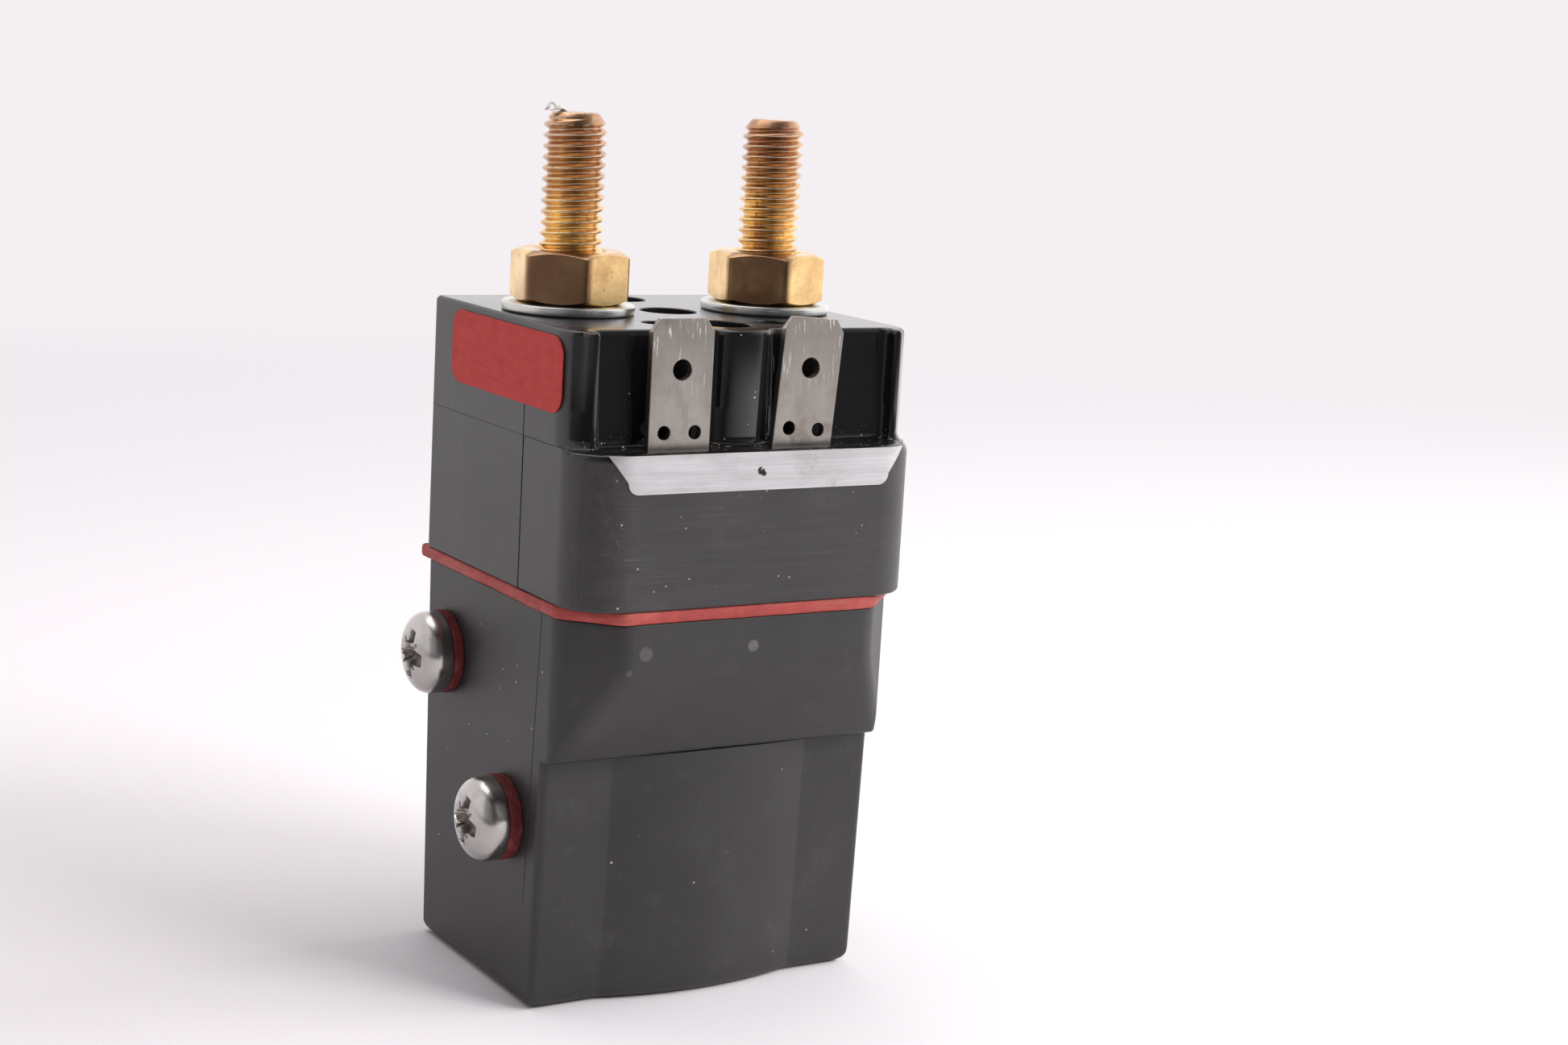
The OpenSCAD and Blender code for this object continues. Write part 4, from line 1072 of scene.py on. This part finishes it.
class CONTACTOR_OT_studs(bpy.types.Operator):
    """Makes the two studs with a helical thread, a turned-down tip and their contact heads"""
    bl_idname = "contactor.studs"
    bl_label = "Studs"

    def execute(self, context):
        size = settings("contactor_metal")
        angle = round_angles(60)
        low, top, start = STUD_LOW[2], STUD_HIGH[2], 62.5 * MM
        head, ease, thick, shank = 4.2 * MM, 0.2 * MM, 3.2 * MM, 3.0 * MM
        levels = np.arange(start, top - 0.06 * MM, size.pitch / 18)
        for side, phase in (("left", 0.3), ("right", 0.75)):
            centre = stud_axis(side)
            turn = (levels[:, None] / size.pitch - angle[None] / (2 * math.pi) + phase) % 1.0
            # Thread: a triangle wave with its crest and root cut off and eased by a smooth step
            wave = share_of(np.abs(turn - 0.5) * 2 - 0.10, 0.80)
            wave = wave * wave * (3 - 2 * wave) * 0.35 + wave * 0.65
            # Tip: nothing stands outside a cone that leaves a rounded end
            tip = share_of(top - levels, 1.25 * MM)[:, None]
            radius = np.minimum(size.root + (size.crest - size.root) * wave, (2.05 + 0.93 * tip ** 0.8) * MM)
            body = rings(centre, angle, radius, levels)
            cap = rings(centre, angle, np.array([1.98, 1.85, 1.2]) * MM, top - np.array([0.03, 0.0, 0.03]) * MM)
            foot = rings(centre, angle, [0, head - ease, head, head, head - ease, shank, shank],
                         [low, low, low + ease, low + thick - ease, low + thick, low + thick, start])
            sheet = Sheet()
            sheet.grid(body, mask=wave * tip)
            sheet.grid(np.concatenate([body[-1:], cap]), mask=0.3)
            sheet.fan(cap[-1], np.array([*centre, top - 0.05 * MM]))
            sheet.grid(np.concatenate([foot, body[:1]]), mask=0.2)
            piece = sheet.object(side + "_threaded_stud", MATERIALS["thread"], 40.0, weighted=False)
            settle(piece, "casing", "stud_brass", side + "_stud")
        return {"FINISHED"}


class CONTACTOR_OT_flake(bpy.types.Operator):
    """Makes the clear flake stuck on the left stud's tip: a strip that folds by two sine waves"""
    bl_idname = "contactor.flake"
    bl_label = "Flake on the stud"

    def execute(self, context):
        cx, cy = stud_axis("left")
        u, v = np.meshgrid(np.linspace(0, 1, 26), np.linspace(0, 1, 14), indexing="ij")
        x = cx - 1.0 * MM - 1.9 * MM * u - 0.2 * MM * np.sin(7 * v + 3 * u)
        y = cy - 0.5 * MM + 1.0 * MM * v + 0.25 * MM * np.sin(9 * u)
        arch = 0.85 * MM * np.sin(math.pi * np.minimum(u * 1.25, 1) * 0.62) * (0.7 + 0.3 * np.sin(5 * v + 6 * u))
        z = STUD_HIGH[2] - 0.12 * MM + arch - 0.9 * MM * np.clip(u - 0.72, 0, 1) + 0.1 * MM * np.sin(14 * u + 6 * v)
        sheet = Sheet()
        sheet.grid(np.stack([x, y, z], -1), closed=False)
        piece = sheet.object("clear_flake", MATERIALS["flake"], 60.0, weighted=False)
        piece.modifiers.new("Wall", "SOLIDIFY").thickness = 0.04 * MM
        settle(piece, "casing", "lead_insulation")
        return {"FINISHED"}


class CONTACTOR_OT_nuts(bpy.types.Operator):
    """Makes the hexagon nuts, whose chamfers leave an arc on each flat, and the plain washers"""
    bl_idname = "contactor.nuts"
    bl_label = "Nuts and washers"

    def execute(self, context):
        size = settings("contactor_metal")
        angle = round_angles(144)
        flats, bore, edge = 5.0 * MM, 3.0 * MM, 0.05 * MM
        turned, shaded_flat_side = math.radians(20), math.radians(-130)
        low, high = NUT_LOW[2], NUT_HIGH[2]
        # Hexagon in polar form, its corners eased: flats / cos(distance to the nearest flat's middle)
        gap = (angle - turned) % (math.pi / 3) - math.pi / 6
        hexagon = np.minimum(flats / np.cos(gap), flats / math.cos(math.pi / 6) - 0.09 * MM)
        drop = (hexagon - flats * 0.955) * math.tan(size.nut_chamfer)
        rows = ((bore, high - 0.45 * MM), (3.45 * MM, high), (flats * 0.935, high),
                (flats * 0.955, high - 0.02 * MM), (hexagon - edge, high - drop), (hexagon, high - drop - edge),
                (hexagon, low + drop + edge), (hexagon - edge, low + drop), (flats * 0.955, low + 0.02 * MM),
                (flats * 0.935, low), (bore, low), (bore, high - 0.45 * MM))
        radii, levels = table_columns(rows, angle)
        # Painted shade: the flat of each nut that faces the camera is painted a dark brown, so that it is darker than
        # the others
        brown = share_of(np.cos(angle - shaded_flat_side) - 0.8, 0.06)
        base, thick, outer, washer_bore, ease = 63.9 * MM, 0.9 * MM, 6.25 * MM, 3.2 * MM, 0.22 * MM
        c, s = quarter(ease, 5)
        washer_radii = [washer_bore, outer - ease, *(outer - ease + s), *(outer - ease + c), washer_bore, washer_bore]
        up = base + thick
        washer_levels = [up, up, *(up - ease + c), *(base + ease - s), base, up]
        nuts, washers = Sheet(), Sheet()
        for side in ("left", "right"):
            nuts.grid(rings(stud_axis(side), angle, radii, levels), mask=brown)
            washers.grid(rings(stud_axis(side), round_angles(96), washer_radii, washer_levels))
        settle(nuts.object("hex_nuts", MATERIALS["nut"], 20.0, weighted=False), "casing", "nut_brass", "stud_nuts")
        settle(washers.object("zinc_washers", MATERIALS["zinc"], 50.0), "casing", "zinc_steel", "stud_washers")
        return {"FINISHED"}


class CONTACTOR_OT_tabs(bpy.types.Operator):
    """Makes the two blade tabs with rounded edges, tapered tips and their holes"""
    bl_idname = "contactor.tabs"
    bl_label = "Blade tabs"

    def execute(self, context):
        e = settings("contactor_metal").tab_edge
        half, thick, shoulder, point = TAB_HALF, 0.4 * MM, TAB_HALF + 0.75 * MM, TAB_HALF - 0.76 * MM
        z0, z1, z2 = SHELF - 8.5 * MM, SHELF + 11.8 * MM, SHELF - 1.9 * MM
        foot, neck, ease = z1 - 1.3 * MM, z1 - 1.2 * MM, 0.2 * MM
        right = [(shoulder, z0, ease), (shoulder, z2, ease), (half, z2, ease), (half, foot, 0), (half, neck, ease),
                 (point, z1, ease)]
        rows = np.roll(mirrored(right), 1, 0)
        loops = [rounded_outline(rows[:, :2], rows[:, 2], 4), circle(0, z1 - 4.6 * MM, 0.945 * MM, 36)]
        loops += [circle(hx, SHELF + 1.534 * MM, 0.63 * MM, 28) for hx in (-1.575 * MM, 1.575 * MM)]
        c, s = quarter(e, 4)
        depths = np.concatenate([-thick + e - s[::-1], thick - e + s])
        offsets = np.concatenate([c[::-1] - e, c - e])
        rims = [moved(loop, -e) for loop in loops]
        # The flat faces are cut at the foot of the tip, where the blade begins to taper
        tip, plate = rims[0][rims[0][:, 1] > foot - 1e-7], rims[0][rims[0][:, 1] < foot + 1e-7]
        tip = tip[np.argsort(np.arctan2(tip[:, 1] - foot + 0.1 * MM, tip[:, 0]))]
        for side in ("left", "right"):
            node = side + "_coil_tab"
            middle, lean = tab_frame(node)
            sheet = Sheet()
            for loop in loops:
                sheet.grid(carried(loop, offsets, depths), mask=1.0)
            for level in (thick, -thick):
                sheet.cap([plate] + rims[1:], level)
                sheet.cap([tip], level)
            across, height, depth = np.concatenate(sheet.points).T
            taper = 1 - 0.3 * share_of(height - foot, z1 - foot)
            up = height - TAB_PIVOT
            sheet.points = [np.stack([middle + across * math.cos(lean) + up * math.sin(lean),
                                      (TAB_LOW[1] + TAB_HIGH[1]) / 2 - depth * taper,
                                      TAB_PIVOT + up * math.cos(lean) - across * math.sin(lean)], 1)]
            piece = sheet.object(side + "_blade", MATERIALS["tab"], 10.0, weighted=False)
            settle(piece, "casing", "tab_metal", node)
        return {"FINISHED"}


class CONTACTOR_OT_screws(bpy.types.Operator):
    """Makes the two side screws, whose domes carry a cross recess with four ribs, and their fibre washers"""
    bl_idname = "contactor.screws"
    bl_label = "Side screws"

    def execute(self, context):
        size = settings("contactor_metal")
        heads, washers = Sheet(), Sheet()
        # Screw: its place in y and z, the turn of its recess in degrees, and how far it stands off
        for y, z, turn, lift in ((11.2 * MM, 29.7 * MM, 8.0, 0.0), (-2.9 * MM, 17.0 * MM, 12.0, 0.25 * MM)):
            thick = size.fibre_thick + lift
            self.head(heads, size, (y, z), math.radians(turn), COVER_LOW[0] - thick)
            self.ring(washers, (y, z), COVER_LOW[0], thick)
        settle(heads.object("side_screw_heads", MATERIALS["steel"], 35.0), "casing", "screw_steel", "side_screws")
        settle(washers.object("fibre_rings", MATERIALS["fibre"], 50.0), "casing", "fibre", "fibre_washers")
        return {"FINISHED"}

    def head(self, sheet, size, place, turn, face):
        """Head whose radius and height follow a superellipse, and its shank. The recess is a cross of four
        wings that narrow inwards, a round middle, and a rib in each corner of the cross."""
        angle = round_angles(160)
        radius, flank, reach, rib_reach = size.pan_radius, 1.0 * MM, 2.4 * MM, 1.9 * MM
        r = radius * np.sin(np.linspace(0, 1, 70) * math.pi / 2)[:, None] ** 0.9
        rise = np.maximum(1 - (r / radius) ** 2.7, 0) ** (1 / 2.3)
        px, py = np.abs(r * np.cos(angle - turn)), np.abs(r * np.sin(angle - turn))
        across, along = np.minimum(px, py), np.maximum(px, py)
        width = 0.6 * MM + 0.3 * MM * share_of(reach - along, reach)
        wings = share_of(width - across, 0.2 * MM) * share_of(reach - along, 0.35 * MM)
        middle = share_of(1.0 * MM - r, 0.3 * MM)
        ribs = share_of(0.22 * MM - np.abs(px - py), 0.12 * MM) * share_of(rib_reach - r, 0.2 * MM)
        cutting = np.maximum(np.maximum(wings, middle), ribs * 0.6)
        deep = np.maximum(size.recess_depth * (1 - 0.45 * (r / reach) ** 2), 0)
        out = flank + (size.pan_height - flank) * rise - cutting * deep
        dome = rings_about_x(place, angle, r, face - out)
        skirt = rings_about_x(place, angle, radius - np.array([0, 0, 0.05, 0.2]) * MM,
                              face - np.array([0.9, 0.35, 0.12, 0.0]) * MM)
        shank_radius, end = 1.95 * MM, face + 5.0 * MM
        shank = rings_about_x(place, angle, [radius - 0.2 * MM, shank_radius, shank_radius], [face, face, end])
        sheet.grid(np.concatenate([dome[1:], skirt]))
        sheet.fan(dome[1], dome[0, 0])
        sheet.grid(shank)
        sheet.fan(shank[-1], np.array([end, *place]))

    def ring(self, sheet, place, face, thick):
        """Fibre washer with an uneven outer edge: two sine waves round it."""
        angle = round_angles(160)
        ease, outer, bore = 0.18 * MM, 4.02 * MM, 2.05 * MM
        c, s = quarter(ease, 4)
        ragged = 0.05 * MM * np.sin(9 * angle + place[0] * 900) + 0.03 * MM * np.sin(23 * angle)
        radii = np.array([bore, *(outer - ease + s), *(outer - ease + c), bore, bore])[:, None]
        levels = np.array([thick, *(thick - ease + c), *(ease - s), 0, thick])
        sheet.grid(rings_about_x(place, angle, radii + ragged * (radii > bore), face - levels))


def helix(name, material, node, turns, wire):
    """Round wire on a helix between the ends of a CAD spring: with u along the wire and v round it, the point
    is axis + (R + w cos v) * (cos 2 pi n u, sin 2 pi n u) at height z0 + (z1 - z0) u + w sin v."""
    low, high = box(node)
    centre = (low + high) / 2
    u = np.linspace(0, 1, turns * 28)
    v = round_angles(8)
    reach = (high[0] - low[0]) / 2 - wire + wire * np.cos(v)[None]
    turn = 2 * math.pi * turns * u[:, None]
    rise = low[2] + wire + (high[2] - low[2] - 2 * wire) * u[:, None] + wire * np.sin(v)[None]
    grid = np.stack([centre[0] + reach * np.cos(turn), centre[1] + reach * np.sin(turn), rise], -1)
    sheet = Sheet()
    sheet.grid(grid)
    sheet.fan(grid[0], grid[0].mean(0))
    sheet.fan(grid[-1][::-1], grid[-1].mean(0))
    return sheet.object(name, material, 60.0, weighted=False)


class CONTACTOR_OT_springs(bpy.types.Operator):
    """Makes the contact and return springs"""
    bl_idname = "contactor.springs"
    bl_label = "Springs"

    def execute(self, context):
        lift, overtravel = 2.1 * MM, 0.6 * MM
        for name, node, body, turns, travel in (
                ("contact_coil_spring", "contact_spring", "bridge_group", 5, overtravel),
                ("return_coil_spring", "return_spring", "casing", 7, lift)):
            piece = settle(helix(name, MATERIALS["spring"], node, turns, 0.25 * MM), body, "spring_steel", node)
            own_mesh(piece)
        return {"FINISHED"}


class CONTACTOR_OT_stage(bpy.types.Operator):
    """Makes the floor, the pale surroundings, the soft lamps and the camera"""
    bl_idname = "contactor.stage"
    bl_label = "Stage"

    def execute(self, context):
        size = settings("contactor_stage")
        self.floor(tuple(size.ground))
        self.room(context.scene, tuple(size.ground))
        self.reflectors()

        # Lamp: name, place, target, width, height and watts
        for name, place, target, wide, high, power in (
                ("right_window", (0.62, -0.14, 0.42), (0, 0, 0.03), 0.5, 0.5, 3.4),
                ("front_panel", (0.33, -0.45, 0.40), (0, 0, 0.04), 0.3, 0.26, 2.8),
                ("top_panel", (-0.05, 0.25, 0.7), (0, 0, 0.03), 0.6, 0.6, 1.7)):
            lamp = bpy.data.lights.new(name, "AREA")
            lamp.shape = "RECTANGLE"
            lamp.size, lamp.size_y = wide, high
            lamp.energy = power * size.lamp
            made = bpy.data.objects.new(name, lamp)
            made.location = place
            made.rotation_euler = (Vector(target) - Vector(place)).to_track_quat("-Z", "Y").to_euler()
            context.scene.collection.objects.link(made)

        camera = bpy.data.cameras.new("photo_camera")
        camera.sensor_fit = "HORIZONTAL"
        camera.sensor_width = SENSOR
        camera.lens = size.focal_px * SENSOR / RENDER_SIZE[0]
        camera.clip_start, camera.clip_end = 0.01, 20.0
        # The camera looks at the target from an azimuth and an elevation, and is rolled about its own axis
        azimuth, elevation, roll = (math.radians(angle) for angle in (-121.88758, 10.36047, 3.33004))
        turn = (Matrix.Rotation(azimuth + math.pi / 2, 4, "Z") @ Matrix.Rotation(math.pi / 2 - elevation, 4, "X")
                @ Matrix.Rotation(roll, 4, "Z"))
        view = bpy.data.objects.new("photo_camera", camera)
        target = Matrix.Translation((13.02 * MM, 0.0, 43.07 * MM))
        view.matrix_world = target @ turn @ Matrix.Translation((0, 0, size.distance))
        context.scene.collection.objects.link(view)
        context.scene.camera = view
        context.scene.view_settings.view_transform = "Standard"
        return {"FINISHED"}

    def floor(self, ground):
        """Pale paper, which turns into an even glow far from the object."""
        under = -0.1 * MM
        circles = rings((0, 0), round_angles(96), [0.05, 0.3, 1.2, 6.0], [under] * 4)
        sheet = Sheet()
        sheet.grid(circles)
        sheet.fan(circles[0], np.array([0, 0, under]))
        t = Finish("paper_ground")
        away = t.value("VectorMath", (t.position,), "Value", operation="LENGTH")
        paper = t.mix(t.ramp(t.noise(2500.0, 3.0), 0.3, 0.7), faded(ground, 0.985), ground)
        t.feed(t.shader, {"Roughness": 0.9, "Specular IOR Level": 0.15, "Base Color": paper})
        glow = t.value("Emission", (ground, 1.0))
        shader = t.value("MixShader", (t.ramp(away, 0.16, 0.55), Value(t, t.shader.outputs[0]), glow))
        sheet.object("floor", t.surface(shader), weighted=False)

    def room(self, scene, ground):
        """Surroundings that are pale behind the object and dark behind the camera. Seen straight or through
        clear matter they are as pale as the ground."""
        world = scene.world = bpy.data.worlds.new("pale_room")
        world.use_nodes = True
        t = Tree(world.node_tree)
        ray = t.add("LightPath").outputs
        glossy, seen, through = (Value(t, ray[key]) for key in ("Is Glossy Ray", "Is Camera Ray",
                                                                "Is Transmission Ray"))
        behind = t.ramp(t.axes(t.value("TexCoord", out="Generated"))[1], -0.45, 0.25)
        front_light = t.mix(glossy, (0.34, 0.33, 0.34), (0.03, 0.028, 0.03))
        back_light = t.mix(glossy, faded(ground, 0.45), faded(ground, 0.95))
        shade = t.mix(t.math("MAXIMUM", seen, through), t.mix(behind, front_light, back_light), ground)
        t.feed(t.nodes["Background"], {"Color": shade, "Strength": 1.0})

    def reflectors(self):
        """Ring of cards that only glossy rays see: its light is a smooth function of the angle round the
        object, and in front it stands only as high as the lit paper would reach."""
        degrees = np.linspace(-180, 180, 181)
        levels = np.array([0.0, 0.012, 0.026, 0.034, 0.07, 0.36])
        rise = share_of(levels - 0.026, 0.008)[:, None]
        low_light, high_light = (np.interp(degrees, CARD_ANGLES, light) for light in (CARD_LIGHT, CARD_HIGH))
        sheet = Sheet()
        sheet.grid(rings((0, 0), np.radians(degrees), [0.26] * len(levels), levels), closed=False,
                   mask=low_light * (1 - rise) + high_light * rise)
        t = Finish("reflector_cards")
        glow = t.surface(t.value("Emission", ((1.0, 0.975, 0.99), t.mask())))
        ring = sheet.object("reflector_ring", glow, weighted=False)
        ring.visible_camera = ring.visible_diffuse = ring.visible_shadow = ring.visible_transmission = False


class CONTACTOR_PT_panel(bpy.types.Panel):
    """Lists the operators and the sizes in the 3D view's sidebar"""
    bl_idname = "CONTACTOR_PT_panel"
    bl_label = "Contactor"
    bl_space_type = "VIEW_3D"
    bl_region_type = "UI"
    bl_category = "Contactor"

    def draw(self, context):
        layout = self.layout
        for operator in OPERATORS:
            layout.operator(operator.bl_idname)
        for name, kind in GROUPS.items():
            holder = getattr(context.scene, name)
            column = layout.column(align=True)
            column.label(text=kind.__name__)
            for key in kind.__annotations__:
                column.prop(holder, key)


GROUPS = {
    "contactor_housing": HousingSizes,
    "contactor_cover": CoverSizes,
    "contactor_metal": MetalSizes,
    "contactor_finishes": Finishes,
    "contactor_stage": StageSizes,
}
OPERATORS = (
    CONTACTOR_OT_finishes, CONTACTOR_OT_housing, CONTACTOR_OT_shell, CONTACTOR_OT_cover, CONTACTOR_OT_gasket,
    CONTACTOR_OT_studs, CONTACTOR_OT_flake, CONTACTOR_OT_nuts, CONTACTOR_OT_tabs, CONTACTOR_OT_screws,
    CONTACTOR_OT_springs, CONTACTOR_OT_stage,
)
CLASSES = tuple(GROUPS.values()) + OPERATORS + (CONTACTOR_PT_panel,)


def register():
    for item in CLASSES:
        bpy.utils.register_class(item)
    for name, kind in GROUPS.items():
        setattr(bpy.types.Scene, name, PointerProperty(type=kind))


def unregister():
    for name in GROUPS:
        delattr(bpy.types.Scene, name)
    for item in reversed(CLASSES):
        bpy.utils.unregister_class(item)


def main():
    register()
    for operator in OPERATORS:
        area, name = operator.bl_idname.split(".")
        getattr(getattr(bpy.ops, area), name)()


if __name__ == "__main__":
    main()
